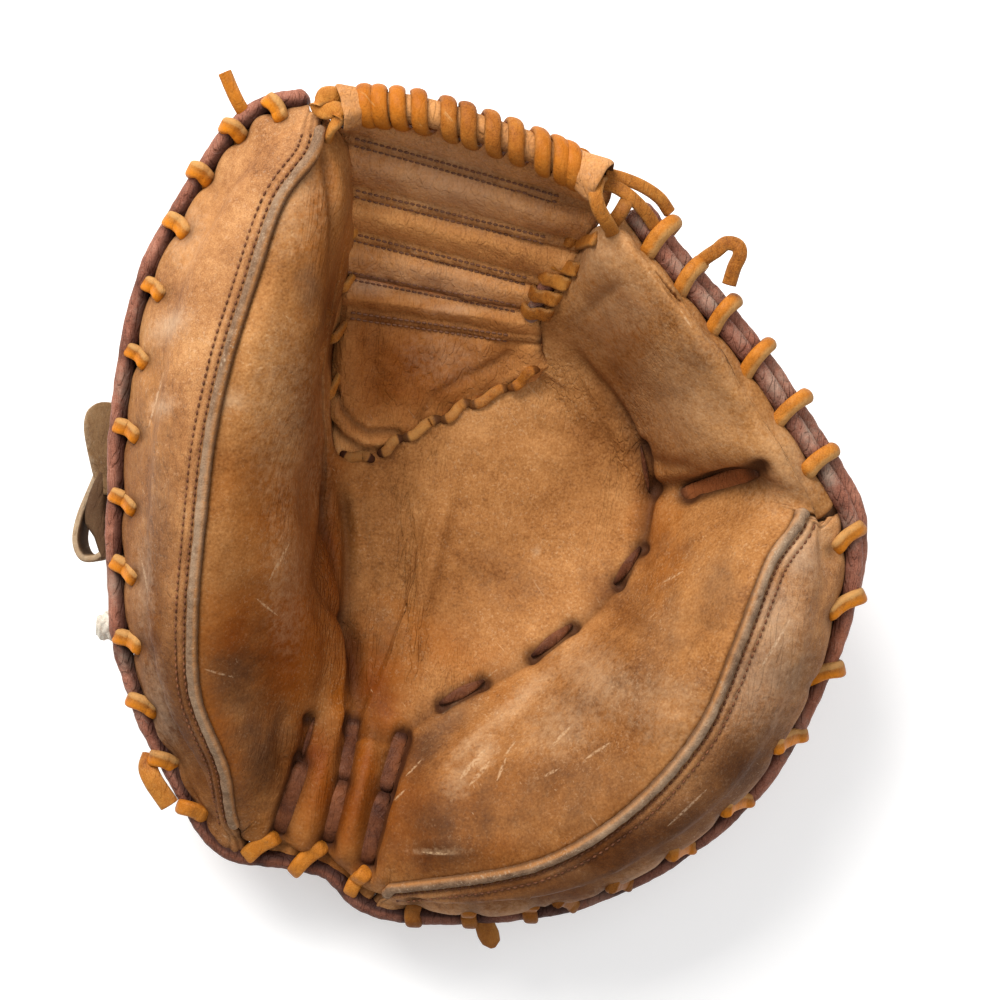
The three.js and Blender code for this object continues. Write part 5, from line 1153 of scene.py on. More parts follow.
# Web panels between the pads, row by row: left and right ends, bow and thickness
upperWeb = [
    ((-38, 127, 102), (30, 107, 102), 4.5, 3), ((-38, 123.8, 99.5), (28.9, 102.6, 99), 3.2, 3),
    ((-38, 120.2, 93), (27.2, 99.6, 91), 1.2, 2.5), ((-38.1, 113, 87), (24.7, 94.6, 86), 1, 7),
    ((-38.4, 105.8, 78), (21.8, 89.6, 77), 0.8, 2.5), ((-39, 99.5, 74), (18.6, 84, 71), 0.8, 7),
    ((-40, 93.4, 67), (15.6, 78, 63), 0.7, 2.5), ((-41, 87.2, 64), (13.6, 74, 58), 0.6, 6.5),
    ((-42, 81.5, 60), (12.4, 70.7, 54), 0.4, 3),
]
lowerWeb = [
    ((-42.8, 77, 58), (12, 69.9, 53), 0.5, 3), ((-43.2, 73.5, 57), (10.9, 66.6, 51), 0.5, 5.5),
    ((-44, 68.5, 52.5), (11, 61.5, 47), 0.5, 2.5), ((-45.6, 58, 49), (11.4, 58.5, 43.5), 0, 3),
    ((-47.2, 46, 45), (13.4, 56.2, 41), -1, 2.5), ((-47.3, 35, 40.5), (14.6, 54.6, 39), -2, 3),
]
webForm = {"sag": 5, "seam": 2.5, "dive": 4, "diveShare": 0.07, "round": 2.4, "leastThick": 0.5, "cols": 121,
           "under": {"upperWeb": (6.5, 12), "lowerWeb": (3.5, 10)}}  # how far the ends run under the pads


# One row of a web panel, its ends drawn out under the pads
def webLine(ends, under, share):
    left, right, bow, deep = ends
    swell = 4 * share * (1 - share)
    a, b = np.array(left) - (under[0], 0, 1), np.array(right) + (under[1], -0.25 * under[1], -2)
    line = a + (b - a) * share[:, None]
    line[:, 1] += bow * swell
    line[:, 2] += (deep - webForm["seam"]) / 2 - webForm["sag"] * swell \
        - webForm["dive"] * smoothstep(webForm["diveShare"], 0, share)
    return line


def seamRidge(places, at, step):
    d = (places - at) * step
    return 1.5 * peak(d, 1.0, 4) - 1.3 * peak(d, 2.6)


footRows = np.linspace(5.15, 21.6, webForm["cols"])
webFoot = rail("inner", footRows) + outward(footRows, "inner") * 2.5
webFoot[:, 2] -= 2.6
rope = ((-50, 40), (-48, 35.5), (-44.1, 30.6), (-38.5, 27), (-29, 27))  # the rolled edge of the lower panel
softFold = ((-20, 34), (-15.5, 42.6), (-4, 48.6), (9.3, 55.1))
# deep is painted shade, mostly over the lower panel under the upper one; pale lays painted highlights along the upper
# panel's channels and on the lower panel
webMarks = {
    "deep": [(-24, 48, 36, 24, 0, 1), (-24, 52, 34, 22, 0, 1), (-38, 58, 10, 30, 0, 0.8), (6, 62, 12, 10, 0, 0.8),
             (10, 60, 10, 10, 0, 0.6), (-34, 104, 8, 26, 0, 0.3), (24, 94, 8, 14, 0, 0.3)],
    "warm": [(-10, 108, 30, 10, -15, 0.4), (0, 96, 26, 6, -15, 0.3)],
    "pale": [(-8, 105, 34, 7, -15, 0.7), (-14, 79, 24, 6, -12, 0.6), (-10, 114, 30, 5, -15, 0.5),
             (-20, 112, 14, 3, -15, 0.4), (8, 100, 12, 3, -20, 0.4), (-36, 78, 10, 3, 0, 0.9),
             (-8, 70, 8, 2, 0, 0.6), (-12, 55, 12, 8, 0, 0.3)],
}
webPieces = {}
for name, table, foot, count, node in (("upperWeb", upperWeb, [], 161, "web_upper_panel"),
                                       ("lowerWeb", lowerWeb, [webFoot], 181, "web_lower_panel")):
    share = np.linspace(0, 1, webForm["cols"])
    lines = [webLine(ends, webForm["under"][name], share) for ends in table] + foot
    places = np.linspace(0, len(lines) - 1, count)
    grid = catmull(np.array(lines), places)
    deep = np.interp(places, range(len(lines)), [ends[3] for ends in table] + [3] * len(foot))
    if name == "lowerWeb":  # its upper edge lies under the upper panel
        tucked = smoothstep(1, 0, places)[:, None] * smoothstep(-0.04, 0.1, share)[None, :]
        grid[..., 1] += 6 * tucked
        grid[..., 2] -= 3.2 * tucked
    lift = 0.45 * lumps(grid, 24, 51) + 0.2 * lumps(grid, 9, 52)
    away = upNormals(grid)
    if name == "upperWeb":
        seams = sum(seamRidge(places, at, 6.2) for at in (2, 4, 6))
        lift = lift * (1 - 0.7 * np.abs(seams))[:, None] + seams[:, None]
        pucker = np.sin(grid[..., 0] * 1.1 + 0.7 * lumps(grid, 20, 53)) * 0.22
        lift += pucker * peak((np.abs((places / 2) % 1 - 0.5) - 0.5) * 6, 1)[:, None]
        # Painted shade beside the seams, between the padded channels
        seamShade = 0.4 * sum(peak((places - at) * 6.2, 1.5) for at in (2, 4, 6))[:, None]
    else:
        lift += 0.7 * seamRidge(places, 1.95, 5.0)[:, None]
        wave = np.sin(grid[..., 0] * 0.42 + 1.2 * lumps(grid, 40, 54))
        lift += 0.7 * wave * within(places, 2, 2.6, 4.4, 5.6)[:, None]
        toRope, toFold = (lineDistance(grid[..., :2], line)[0] for line in (rope, softFold))
        lift += 1.7 * peak(toRope, 1.7, 4) - peak(toRope - 3.2, 1.0) - 0.9 * peak(toFold, 1.8)
        # Painted shade below the rolled edge, in the soft fold and along the seam
        seamShade = 0.6 * peak(toRope - 3, 1.2) + 0.25 * peak(toFold, 1.6) + 0.5 * peak(places - 1.95, 0.3)[:, None]
    length = np.concatenate([np.zeros((1, webForm["cols"])),
                             np.cumsum(np.linalg.norm(np.diff(grid, axis=0), axis=2), axis=0)])
    near = np.minimum.reduce([planGap(grid, 0), planGap(grid, -1), length, length[-1] - length])
    fall = deep[:, None] * 0.5 * edgeDrop(near, webForm["round"])
    top = grid + away * lift[..., None]
    top[..., 2] -= fall
    low = grid.copy()
    low[..., 2] = np.minimum(low[..., 2] - deep[:, None] + fall, top[..., 2] - webForm["leastThick"])
    # Painted shade along the edges that run under the pads, with the seam shade
    masks = {**{key: spotMask(grid, spots) for key, spots in webMarks.items()},
             "dirtAndShade": np.clip(0.7 * peak(near, 1.6) + seamShade, 0, 1), "wrinkle": np.full(near.shape, 0.45)}
    piece = sheetPiece(name, top, low, 2, skins["web"], masks)
    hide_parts(node)
    webPieces[name] = piece
webTree = treeOf(*webPieces.values())
print("web ready")

# Stitch rows beside each seam of the web
webSew = {"aside": 0.95, "long": 1.7, "space": 1.95, "radius": 0.38, "steps": 5,
          "seams": [("upperWeb", upperWeb[at]) for at in (2, 4, 6, 8)] + [("lowerWeb", lowerWeb[2])]}
share = np.linspace(0, 1, webSew["steps"])
sew = Builder()
for name, ends in webSew["seams"]:
    line = webLine(ends, webForm["under"][name], np.linspace(0.06, 0.86, 161))[:, :2]
    tangent = along(line)
    length = runLength(line)
    for aside in (-webSew["aside"], webSew["aside"]):
        beside = line + aside * np.stack([-tangent[:, 1], tangent[:, 0]], axis=1)
        for start in np.arange(1, length[-1] - 2.4, webSew["space"]):
            x, y = (np.interp(start + share * webSew["long"], length, beside[:, k]) for k in (0, 1))
            z = np.array([heightOn(webTree, *spot, 0.0) for spot in zip(x, y)])
            if z.min() == 0:  # past the panel
                continue
            put = np.stack([x, y, z + 0.14 - 0.2 * np.cos(share * 2 * math.pi)], axis=1)
            radius = taper(put, np.full(webSew["steps"], webSew["radius"]), 0.4)
            sew.add(tubeRings(put, radius, 6), {"dirtAndShade": 0.0, "pale": 0.55})
sew.finish("webStitching", "thread", "web_leather")

# Roll along the top of the web: centre and radius, a hollow sleeve at each end
barTable = [((-36.5, 127.8, 104), 4.3), ((-32, 127.7, 105), 4.3), ((-20, 126.3, 106), 4.3),
            ((-8, 123.2, 106.5), 4.3), ((5, 118.9, 106.5), 4.3), ((17, 114.6, 106), 4.3), ((28.5, 109.7, 105), 4.3),
            ((33.5, 107.3, 104.5), 4.2)]
barForm = {"steps": 141, "sides": 28, "sleeveSides": 36, "sleeveSteps": 41, "insideFrom": 24}
places = np.linspace(0, len(barTable) - 1, barForm["steps"])
barLine = catmull([row[0] for row in barTable], places)
barRadius = np.interp(places, range(len(barTable)), [row[1] for row in barTable])
roll = Builder()
roll.add(tubeRings(barLine, barRadius * (1 + 0.03 * lumps(barLine, 10, 61)), barForm["sides"]),
         {"wrinkle": 0.6, "dirtAndShade": 0.25, "pale": 0.1})
sleeves = [((-33.5, 127.8, 104.6), (-42, 126.2, 106.8)), ((29, 109.6, 104.6), (38.4, 103.9, 106.8))]
# Along a sleeve from its neck to its end, then back inside: share of the way and radius
sleeveProfile = [(0, 5.3), (0.25, 5.7), (0.5, 6.2), (0.75, 6.7), (0.88, 6.9), (0.97, 6.8), (1.03, 6.3), (1, 5.7),
                 (0.85, 5.1), (0.65, 4.6), (0.4, 4.1)]
turn = np.linspace(0, 2 * math.pi, barForm["sleeveSides"], endpoint=False)
wave = 0.05 * np.sin(turn * 3 + 0.6) + 0.03 * np.sin(turn * 7)
inside = (np.arange(barForm["sleeveSteps"]) > barForm["insideFrom"])[:, None]
for start, end in np.array(sleeves):
    way = unit(end - start)
    side = unit(np.cross(way, (0, 0, 1.0)))
    around = np.cos(turn)[:, None] * side + np.sin(turn)[:, None] * np.cross(side, way)
    rings = np.stack([start + (end - start) * s + around * (r * (1 + wave * s * 1.6))[:, None]
                      for s, r in smoothLine(sleeveProfile, barForm["sleeveSteps"])])
    # Painted shade inside the sleeves
    roll.add(rings, {"pale": 0.2 * ~inside, "dirtAndShade": 0.2 + 0.8 * inside, "wrinkle": 0.4})
roll.finish("barRoll", "web", "web_leather", "web_bar")
print("bar ready")

# Rawhide wound round the bar, each turn over the front and back under it
wrapAt = [-33.5, -29.3, -23.7, -17.2, -8.4, -2.5, 4.8, 11.8, 19.7, 25.4, 29.1]
wrapForm = {"wide": 5.2, "thick": 3.0, "slant": 0.7, "lean": 5, "high": 5.3, "low": 5.7, "steps": 12, "last": 4}
points, ways = [], []
for k, x in enumerate(wrapAt):
    following = wrapAt[k + 1] if k + 1 < len(wrapAt) else x + wrapForm["last"]
    slope = abs(np.interp(x, barLine[1:, 0], np.diff(barLine[:, 1]) / np.diff(barLine[:, 0])))
    slant = wrapForm["slant"] + wrapForm["lean"] * slope
    for half, (a, b) in enumerate(((x - slant, x + slant), (x + slant, following - slant))):
        for share in np.arange(wrapForm["steps"]) / wrapForm["steps"]:
            at = np.interp(a + (b - a) * share, barLine[:, 0], np.arange(len(barLine)))
            centre = np.array([np.interp(at, np.arange(len(barLine)), barLine[:, j]) for j in range(3)])
            low = int(np.clip(at, 1, len(barLine) - 2))
            way = unit(barLine[low + 1] - barLine[low - 1])
            side = unit(np.cross((0, 0, 1.0), way))
            angle = math.pi * (share + half)
            reach = wrapForm["high"] + (wrapForm["low"] - wrapForm["high"]) * max(-math.cos(angle), 0)
            points.append(centre + (side * math.cos(angle) + np.cross(way, side) * math.sin(angle)) * reach)
            ways.append(way)
rings, edgeMask = strapRings(points, np.array(ways), wrapForm["wide"], wrapForm["thick"], 18, 0.95)
# Painted shade and pale wear on both edges of each turn; deep darkens the whole wrap's colour
Builder().add(rings, {"pale": 0.3 * edgeMask, "wrinkle": 0.2, "dirtAndShade": 0.35 * edgeMask, "deep": 0.5,
                      "warm": spotMask(rings, [(-28, 126, 16, 12, 0, 0.7), (26, 112, 10, 10, 0, 0.5)])
                      }).finish("barWrap", "rawhide", "rawhide_lace", "web_wrap_lace")


# A place beside the web edge of a pad, as seen from the pad, and the way along that edge
def webward(row, distance, drop=0.0):
    out = outward([row], "inner")[0]
    a, b = rail("inner", [max(row - 0.05, 0)])[0], rail("inner", [min(row + 0.05, lastRow)])[0]
    high = unit(np.cross(unit(b - a), out))
    return rail("inner", [row])[0] - out * distance - high * np.sign(high[2]) * drop, unit(b - a)


innerForm = {"out": 3.05, "drop": 3.4, "from": 25, "to": 22.6, "steps": 70, "radius": 2.7, "sides": 18}
path = np.array([webward(row, innerForm["out"], innerForm["drop"])[0]
                 for row in np.linspace(innerForm["from"], innerForm["to"], innerForm["steps"])])
radius = innerForm["radius"] * (1 + 0.05 * lumps(path, 6, 71))
innerRubs = [(22, 68, 6, 5, 0, 0.9), (17, 61, 5, 5, 0, 0.7)]
innerMasks = {"pale": spotMask(path, innerRubs)[:, None], "wrinkle": 0.5}
Builder().add(tubeRings(path, taper(path, radius, 2.5), innerForm["sides"]), innerMasks).finish(
    "innerBinding", "binding", "binding_leather", "finger_inner_binding")

# Turns of the laces at the two sides of the web: share of the turn, distance over the web,
# drop below the pad's edge and the piece that it lies on
fingerRing = [(0, -2.4, 0, palmTree), (0.15, 1.5, -0.6, None), (0.3, 4.6, -0.6, None), (0.5, 6.6, 3.4, None),
              (0.7, 4.6, 7.1, None), (0.95, -2.4, 9.6, None)]
thumbRing = [(0, 2.2, 4.6, None), (0.2, 0.2, -0.6, None), (0.35, -3, 2.2, None), (0.5, -3, 5, None),
             (0.7, 0.6, 8.6, None), (0.98, 2.6, 9, None)]
sideForm = {"steps": 7, "lie": 1.4, "section": {"thick": 1.9, "sides": 14}}
sideLaces = {
    "fingerWebLace": ([24.97, 24.62, 24.42, 24.18, 23.86, 23.55], fingerRing, 5.0, "web_finger_lace"),
    "thumbWebLace": ([0.75, 1.43, 2.12, 2.8, 3.48, 4.17, 4.85], thumbRing, 3.4, "web_thumb_lace"),
}
for name, (turnRows, turnTable, wide, node) in sideLaces.items():
    points, ways = [], []
    for here, after in zip(turnRows, turnRows[1:]):
        for advance, web, drop, under in turnTable:
            spot, way = webward(here + (after - here) * advance, web, drop)
            if under:
                spot[2] = max(spot[2], heightOn(under, spot[0], spot[1], spot[2] - 3) + sideForm["lie"])
            points.append(spot)
            ways.append(way)
    count = (len(points) - 1) * sideForm["steps"] + 1
    path, ways = smoothLine(points, count), smoothLine(ways, count)
    rings, edgeMask = strapRings(path, ways, wide, **sideForm["section"])
    Builder().add(rings, {"pale": 0.5 * edgeMask, "dirtAndShade": 0.12 + 0.3 * edgeMask, "wrinkle": 0.2}
                  ).finish(name, "rawhide", "rawhide_lace", node)

# Short lengths of lace along the joint of the web and the palm, each bowed a little
baseLengths = [((19.6, 50.9), (10.2, 44.8)), ((9.8, 44.9), (-3.1, 39)), ((-3.3, 39.9), (-12.6, 34)),
               ((-13.3, 34.4), (-25.7, 27.9)), ((-26.3, 27.8), (-33.8, 22.7)), ((-36.1, 20.6), (-46.4, 22.6))]
baseForm = {"wide": 3.7, "thick": 2.4, "bow": -0.7, "proud": 0.9, "sink": -1.8, "steps": 19, "sides": 14}
bothTree = treeOf(palm, *webPieces.values())
share = np.linspace(0, 1, baseForm["steps"])
ends = np.minimum(share, 1 - share) * 2
lace = Builder()
for k, (start, end) in enumerate(np.array(baseLengths)):
    way = unit(end - start)
    bow = np.sin(share * math.pi * 2)[:, None] * np.array((-way[1], way[0])) * baseForm["bow"]
    flat = start + (end - start) * share[:, None] + bow
    surface = np.array([heightOn(bothTree, x, y, 34) for x, y in flat])
    proud = np.where(ends == 0, baseForm["sink"], baseForm["proud"] * np.clip(ends * 2, 0, 1) ** 0.5)
    path = np.concatenate([flat, (surface.max() * 0.4 + surface * 0.6 + proud)[:, None]], axis=1)
    wide = baseForm["wide"] * (0.6 + 0.4 * np.clip(ends * 2.5, 0, 1) ** 0.5)
    rings, edgeMask = strapRings(path, (-way[1], way[0], 0), wide, baseForm["thick"], baseForm["sides"], 0.85)
    # Painted shade at the ends that sink in
    lace.add(rings, {"pale": 0.4 * edgeMask + 0.4 * min(k, 3) / 3, "dirtAndShade": 0.75 * (ends < 0.25)[:, None] + 0.08 * k})
lace.finish("baseLace", "rawhide", "rawhide_lace", "web_base_lace")
print("web laces ready")

# Two leathers of the back, with the opening for the hand. Profiles of the outer and inner part:
# distance from the rim or the web edge, and share of the height
backProfile = [(0, 1), (8.5, 1), (11.5, 0.62), (17, 0.27), (26, 0.05), (35, 0)]
backInner = [(26, 0), (12, 0.25), (5, 0.75), (1.2, 1)]
backForm = {"full": 76, "cols": 61, "samples": 121, "thinEdge": 0.45, "leastRise": 0.25, "leastThick": 0.8,
            "smooth": [0.1, 0.2, 0.4, 0.2, 0.1], "start": 0.2}
opening = {"from": 7.5, "to": 13, "deep": 0.5, "wave": 0.04, "turn": 1.4, "blend": 0.08}
backPieces = {"thumbBack": (0, 12.3, 185, "thumb_back"), "fingerBack": (12.32, 25, 191, "finger_back")}


# Profile of the back under one section: distance from the rim and height, and the station it starts at
def backSection(row, rim, inner, length, plan):
    scale = min(length / backForm["full"], 1)
    keel = max(float(catmull(keelHeights, row)[0]), 0)
    landZ = rim[2] - form["rimThick"] - form["gap"] - form["backThick"]
    edgeZ = min(inner[2] - form["innerThick"] - form["gap"] - form["backThick"], landZ)
    profile = [(a * scale, keel + (landZ - keel) * h) for a, h in backProfile]
    profile[0] = (backForm["start"] - float(backShift(row)), profile[0][1])
    flat = profile[-1][0]
    profile += [(max(length - a * scale, flat + scale), keel + (edgeZ - keel) * h) for a, h in backInner]
    start, end = profile[0][0], profile[-1][0]
    first, last, soft = opening["from"], opening["to"], opening["blend"]
    if first - soft < row < last + soft:
        cut = (opening["deep"] + opening["wave"] * math.sin((row - first) * opening["turn"])) * plan
        share = within(row, first - soft, first + soft, last - soft, last + soft)
        start += (min(cut, length) - start) * float(share)
    return np.array(profile).T, start + (end - start) * np.linspace(0, 1, backForm["cols"])


# The back at one row: its inside and its outside, square to the profile
def backRow(row):
    across = np.linspace(6, 0, backForm["samples"])
    spots = topPoints(np.full(len(across), row), across)
    rim, inner, out = spots[0], spots[-1], outward([row])[0]
    distance = runLength(spots[:, :2])
    profile, stations = backSection(row, rim, inner, distance[-1], np.linalg.norm((inner - rim)[:2]))
    height = np.interp(stations, *profile)
    smooth = np.convolve(np.pad(height, 2, mode="edge"), backForm["smooth"], "valid")
    slope = np.gradient(smooth, stations)
    lean = slope / np.sqrt(1 + slope**2)
    rise = np.maximum(1 / np.sqrt(1 + slope**2), backForm["leastRise"])
    lean[[0, -1]], rise[[0, -1]] = 0, 1
    column = np.arange(backForm["cols"])
    ends = np.clip(np.minimum(column, column[::-1]) / 2, 0, 1)
    thick = form["backThick"] * (backForm["thinEdge"] + (1 - backForm["thinEdge"]) * np.sqrt(ends))
    sides = []
    for inward, z, room in ((stations - lean * thick, smooth + rise * thick, 0),
                            (stations, smooth, form["backThick"])):
        x, y = (np.interp(inward, distance, spots[:, k]) - np.minimum(inward, 0) * out[k] for k in (0, 1))
        under = underHeights(np.full(len(column), row), np.interp(inward, distance, across)) - form["gap"] - room
        sides.append(np.stack([x, y, np.minimum(z, under)], axis=1))
    return sides


for name, (first, last, count, node) in backPieces.items():
    top, low = np.array([backRow(row) for row in np.linspace(first, last, count)]).transpose(1, 0, 2, 3)
    rolls = 0.5 * lumps(low, 40, 81) + 0.2 * lumps(low, 14, 82)
    low[..., 2] = np.maximum(low[..., 2] + 0.5 * (rolls - 0.6) * smoothstep(0.4, 4, low[..., 2]), 0)
    top[..., 2] = np.maximum(top[..., 2], low[..., 2] + backForm["leastThick"])
    masks = {"dirtAndShade": 0.3 * smoothstep(2.5, 0, planGap(top, 0)), "wrinkle": np.full(top.shape[:2], 0.35)}
    piece = sheetPiece(name, top, low, 1, skins["back"], masks)
    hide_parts(node)
print("back ready")

# Wrist strap with its folded end, suede tab and fleece: centre line, then the way or the size of the width
strapTable = [
    ((-34, -92, 6.4), (0.75, 0.66, 0)), ((-50, -83, 6), (0.75, 0.66, 0)), ((-70, -68, 3.2), (0.75, 0.66, 0)),
    ((-87, -53.5, 5.8), (0.72, 0.62, 0.3)), ((-100, -41.5, 12), (0.55, 0.45, 0.7)),
    ((-110.5, -30, 20), (0.35, 0.2, 0.92)), ((-117.5, -18, 26.5), (0.15, 0.05, 1)),
    ((-123.5, -10.5, 29.5), (0, 0, 1)), ((-129, -12.5, 30), (0, 0, 1)), ((-133.2, -12, 30), (0, 0, 1)),
    ((-135.2, -6.5, 30), (0, 0, 1)), ((-133.8, 1.5, 30), (0, 0, 1)), ((-130, 11, 30), (0, 0, 1)),
    ((-125.5, 20.5, 30), (0, 0, 1)), ((-119, 29, 30), (0, 0, 1)),
]
strapForm = {"steps": 141, "wide": 20, "uneven": 0.4, "section": {"thick": 2.5, "sides": 30, "square": 0.3}}
path, ways = (smoothLine([row[k] for row in strapTable], strapForm["steps"]) for k in (0, 1))
wide = strapForm["wide"] + strapForm["uneven"] * lumps(path, 20, 91)
rings, edgeMask = strapRings(path, ways, wide, **strapForm["section"])
# The inner face of the loop, towards the mitt, gets painted shade
inner = smoothstep(0.2, 0.9, rings[..., 0] - path[:, None, 0])
band = Builder().add(rings, {"pale": 0.7 * edgeMask, "dirtAndShade": 0.15 + 0.7 * inner * (1 - edgeMask), "wrinkle": 0.4})
# The strap's end, turned in inside the loop and thickest in its middle
turnedEnd = [(-125.4, 17, 36), (-127.4, 9, 35), (-128.4, 2, 34), (-127, -4, 33.5), (-125, -12, 33)]
turnedForm = {"steps": 41, "wide": 15, "thick": ((0, 1, 2.3, 3.1, 4), (3, 6.5, 8.4, 5, 4)),
              "section": {"sides": 30, "square": 0.5}}
deep = np.interp(np.linspace(0, 4, turnedForm["steps"]), *turnedForm["thick"])
path = smoothLine(turnedEnd, turnedForm["steps"])
rings = strapRings(path, (0, 0, 1), turnedForm["wide"], deep, **turnedForm["section"])[0]
# The turned-in end inside the loop gets painted shade
band.add(rings, {"pale": 0.0, "dirtAndShade": 0.9, "wrinkle": 0.4}).finish("wristStrap", "suede", "strap_suede", "wrist_strap")

tabTable = [((-121.5, 9, 42.5), 6.4), ((-122.4, 18, 44), 7.8), ((-123.3, 26, 45), 8.6), ((-123.8, 31.5, 45.4), 8.8),
            ((-124, 35.2, 45.5), 7.9), ((-124, 37.6, 45.6), 6), ((-124, 39, 45.6), 3.6), ((-124, 39.5, 45.6), 1.2)]
tabForm = {"steps": 61, "way": (0.9, 0, 0.42), "section": {"thick": 2.2, "sides": 24, "square": 0.4}}
path = smoothLine([row[0] for row in tabTable], tabForm["steps"])
half = smoothLine([[row[1]] for row in tabTable], tabForm["steps"])[:, 0]
rings, edgeMask = strapRings(path, tabForm["way"], 2 * half, **tabForm["section"])
Builder().add(rings, {"pale": 0.6 * edgeMask, "dirtAndShade": 0.5 * (1 - edgeMask), "wrinkle": 0.4}
              ).finish("strapTab", "suede", "strap_suede", "strap_tab")

fleeceTable = [((-74, -47.8, 17), 8, 3), ((-90, -42.3, 23), 7, 3), ((-105, -39.3, 32), 6, 3),
               ((-117, -35.3, 36), 6, 3.2), ((-124.5, -35.3, 38.2), 5.5, 3.6), ((-128.2, -35.1, 39), 3, 2.2)]
fleeceForm = {"steps": 101, "way": (0.5, 0.8, 0.1), "tuft": 0.1, "curl": 0.09, "section": {"sides": 40, "square": 0.9}}
places = np.linspace(0, len(fleeceTable) - 1, fleeceForm["steps"])
path = catmull([row[0] for row in fleeceTable], places)
wide, deep = (2 * np.interp(places, range(len(fleeceTable)), [row[k] for row in fleeceTable]) for k in (1, 2))
rings = strapRings(path, fleeceForm["way"], wide, deep, **fleeceForm["section"])[0]
tuft = fleeceForm["tuft"] * lumps(rings, 7, 95) + fleeceForm["curl"] * lumps(rings, 2.6, 96)
rings = path[:, None] + (rings - path[:, None]) * (1 + tuft[..., None])
fleece = Builder().add(rings, {"pale": 0.3, "dirtAndShade": 0.0}).finish("fleeceLining", "fleece", "fleece", "fleece_lining")

# Single lengths of rawhide at the ends of the bar and the loose ends of the lacing:
# name, centre line, width, way of the width, then dirt and warmth
looseLaces = {
    "bar_right_lace_front": ("barLaceFront", [(38.2, 105.6, 103), (36.6, 103.6, 108.6), (36, 99.6, 110.2),
        (37.2, 95.4, 109), (39.6, 91.8, 106), (41.4, 89.6, 101.5), (41.6, 88.6, 96)], 4.6, (1, 0.1, 0), 0.08, 0),
    "bar_right_lace_middle": ("barLaceMiddle", [(37.2, 104.2, 103), (42.1, 103, 104), (47, 99.8, 104),
        (51.4, 95.8, 101.8), (54.6, 91.8, 98.6)], 4.2, None, 0.15, 0),
    "bar_right_lace_back": ("barLaceBack", [(39.5, 107, 103.4), (44.9, 105.5, 103.6), (50.9, 103.3, 101.8),
        (56.2, 100.2, 98.6), (59.6, 96.4, 94.6)], 4, None, 0.08, 0),
    "bar_left_lace": ("barLaceLeft", [(-40, 129, 104.5), (-43.2, 130.4, 107.6), (-46.6, 130.4, 107),
        (-48.6, 128.4, 105.2), (-47.8, 126.4, 105.2), (-45.4, 125.6, 107), (-42.8, 125.8, 108.6), (-41.6, 124, 109),
        (-43.6, 121.4, 107), (-45.2, 119.4, 103.6), (-45.6, 118.6, 98.5)], 5.2, (0.3, 0.9, 0.2), 0.08, 0),
    "tail_finger_side": ("tailFinger", [(68.8, 80.6, 92), (71.4, 82.6, 94.6), (74, 84.2, 96.4), (77, 86.4, 97.2),
        (80.4, 85.6, 97.4), (81.2, 82.8, 97), (79.6, 79, 95.6), (78.2, 74, 93.6)], 4.6, None, 0.08, 0),
    "tail_thumb_top": ("tailThumb", [(-72, 126.6, 91), (-74.2, 130.2, 94.4), (-76, 134, 96), (-78.2, 139.4, 97)],
        4.4, (0.9, 0.35, 0.3), 0.08, 0.5),
    "tail_heel": ("tailHeel", [(2, -129, 40.1), (1.9, -134.6, 39.4), (3.4, -139.4, 37.8), (4.6, -143, 36)],
        7.4, (1, 0, 0), 0.5, 0),
    "knot_heel_left": ("knotHeel", [(-108.6, -77.6, 45.5), (-109.4, -81.6, 48.2), (-107.6, -85.8, 49),
        (-105.2, -89.8, 48), (-102.6, -94, 46.6)], 6.6, None, 0.08, 0),
}
looseForm = {"steps": 12, "section": {"thick": 2.4, "sides": 16, "square": 0.7}}
cutEnd = ((0, 0.6, 0.85, 1), (0.8, 1, 0.85, 0.35))  # width along the heel's loose end
secondTurn = [(47, 100.4, 100), (45.6, 98, 104), (43.6, 94.6, 104.4), (41.2, 91.8, 101)]
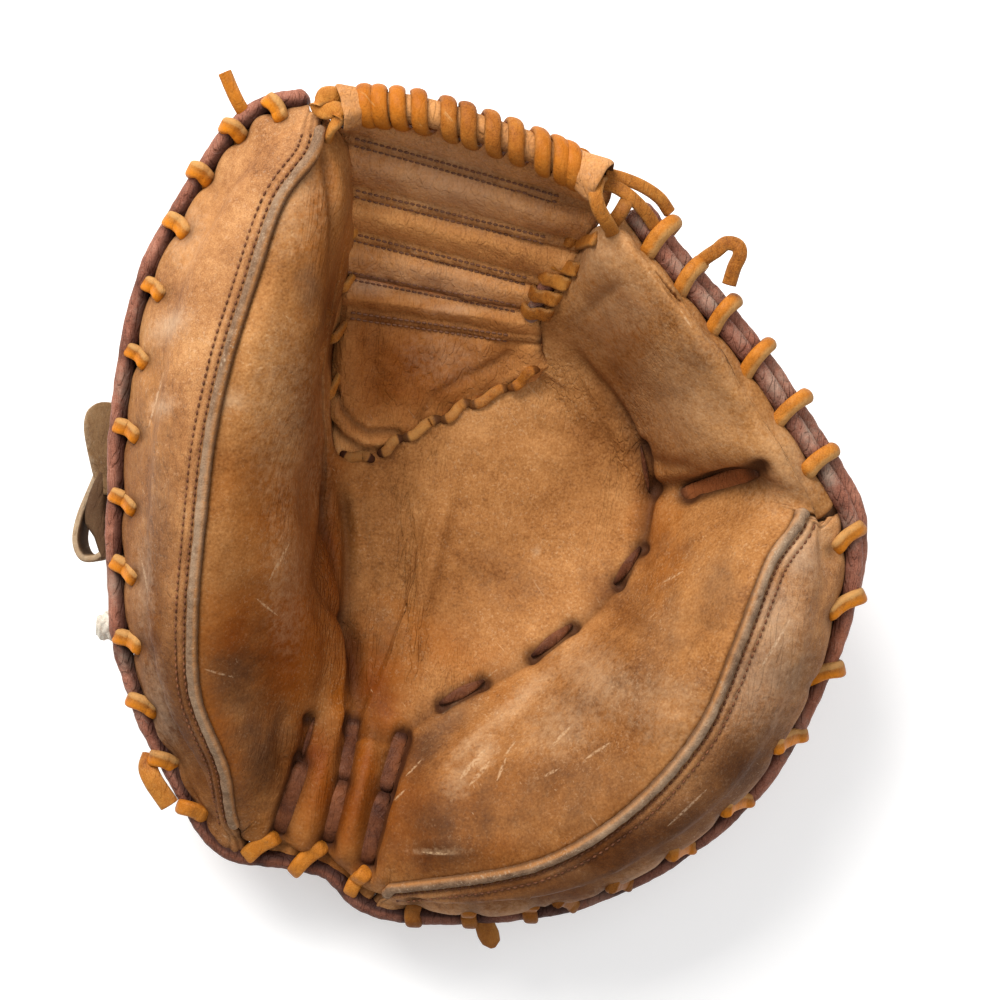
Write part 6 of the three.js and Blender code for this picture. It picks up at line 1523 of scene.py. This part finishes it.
for node, (name, line, wide, face, dirtAndShade, warm) in looseLaces.items():
    path = smoothLine(line, looseForm["steps"] * len(line))
    ways = np.cross((0, 0, 1.0), along(path)) if face is None else face
    if node == "tail_heel":
        wide = wide * np.interp(np.linspace(0, 1, len(path)), *cutEnd)
    rings, edgeMask = strapRings(path, ways, wide, **looseForm["section"])
    lace = Builder().add(rings, {"pale": 0.5 * edgeMask, "dirtAndShade": dirtAndShade, "warm": warm, "wrinkle": 0.3})
    if node == "bar_right_lace_front":  # its second turn, through the corner of the pad
        rings, edgeMask = strapRings(smoothLine(secondTurn, 19), (0.9, -0.4, 0.2), wide, **looseForm["section"])
        lace.add(rings, {"pale": 0.3 * edgeMask, "dirtAndShade": 0.45, "wrinkle": 0.3})
    lace.finish(name, "rawhide", "rawhide_lace", node)
print("loose laces ready")

# White paper floor, soft key light from the upper left, camera straight above
scene = bpy.context.scene
stage = {"size": 3, "paper": (0.82, 0.82, 0.82, 1), "glow": 0.3, "rough": 0.9, "world": 0.42, "aim": (0, 0, 0.05)}
reach = stage["size"]
floorMesh = bpy.data.meshes.new("paperFloor")
floorCorners = [(-reach, -reach, 0), (reach, -reach, 0), (reach, reach, 0), (-reach, reach, 0)]
floorMesh.from_pydata(floorCorners, [], [(0, 1, 2, 3)])
floor = bpy.data.objects.new("paperFloor", floorMesh)
scene.collection.objects.link(floor)
paper = bpy.data.materials.new("paper")
paper.use_nodes = True
filled(paper.node_tree, paper.node_tree.nodes["Principled BSDF"], {
    "Base Color": stage["paper"], "Emission Color": (1, 1, 1, 1), "Emission Strength": stage["glow"],
    "Roughness": stage["rough"]})
floorMesh.materials.append(paper)

scene.world = bpy.data.worlds.new("studio")
scene.world.use_nodes = True
filled(scene.world.node_tree, scene.world.node_tree.nodes["Background"], {
    "Color": (1, 1, 1, 1), "Strength": stage["world"]})

lights = {
    "key": {"place": (-0.42, 0.85, 1.0), "size": 0.7, "power": 25, "tint": (1, 0.975, 0.94)},
    "fill": {"place": (0.5, 0.1, 1.4), "size": 1.2, "power": 7, "tint": (0.97, 0.98, 1)},
}
for name, lamp in lights.items():
    data = bpy.data.lights.new(name, "AREA")
    data.size, data.energy, data.color = lamp["size"], lamp["power"], lamp["tint"]
    light = bpy.data.objects.new(name, data)
    light.location = lamp["place"]
    light.rotation_euler = (Vector(stage["aim"]) - Vector(lamp["place"])).to_track_quat("-Z", "Y").to_euler()
    scene.collection.objects.link(light)

eye = bpy.data.cameras.new("eye")
eye.lens = camera["lens"]
eyeObject = bpy.data.objects.new("eye", eye)
eyeObject.location = tuple(value * mm for value in camera["place"])
scene.collection.objects.link(eyeObject)
scene.camera = eyeObject
scene.view_settings.view_transform = "Standard"
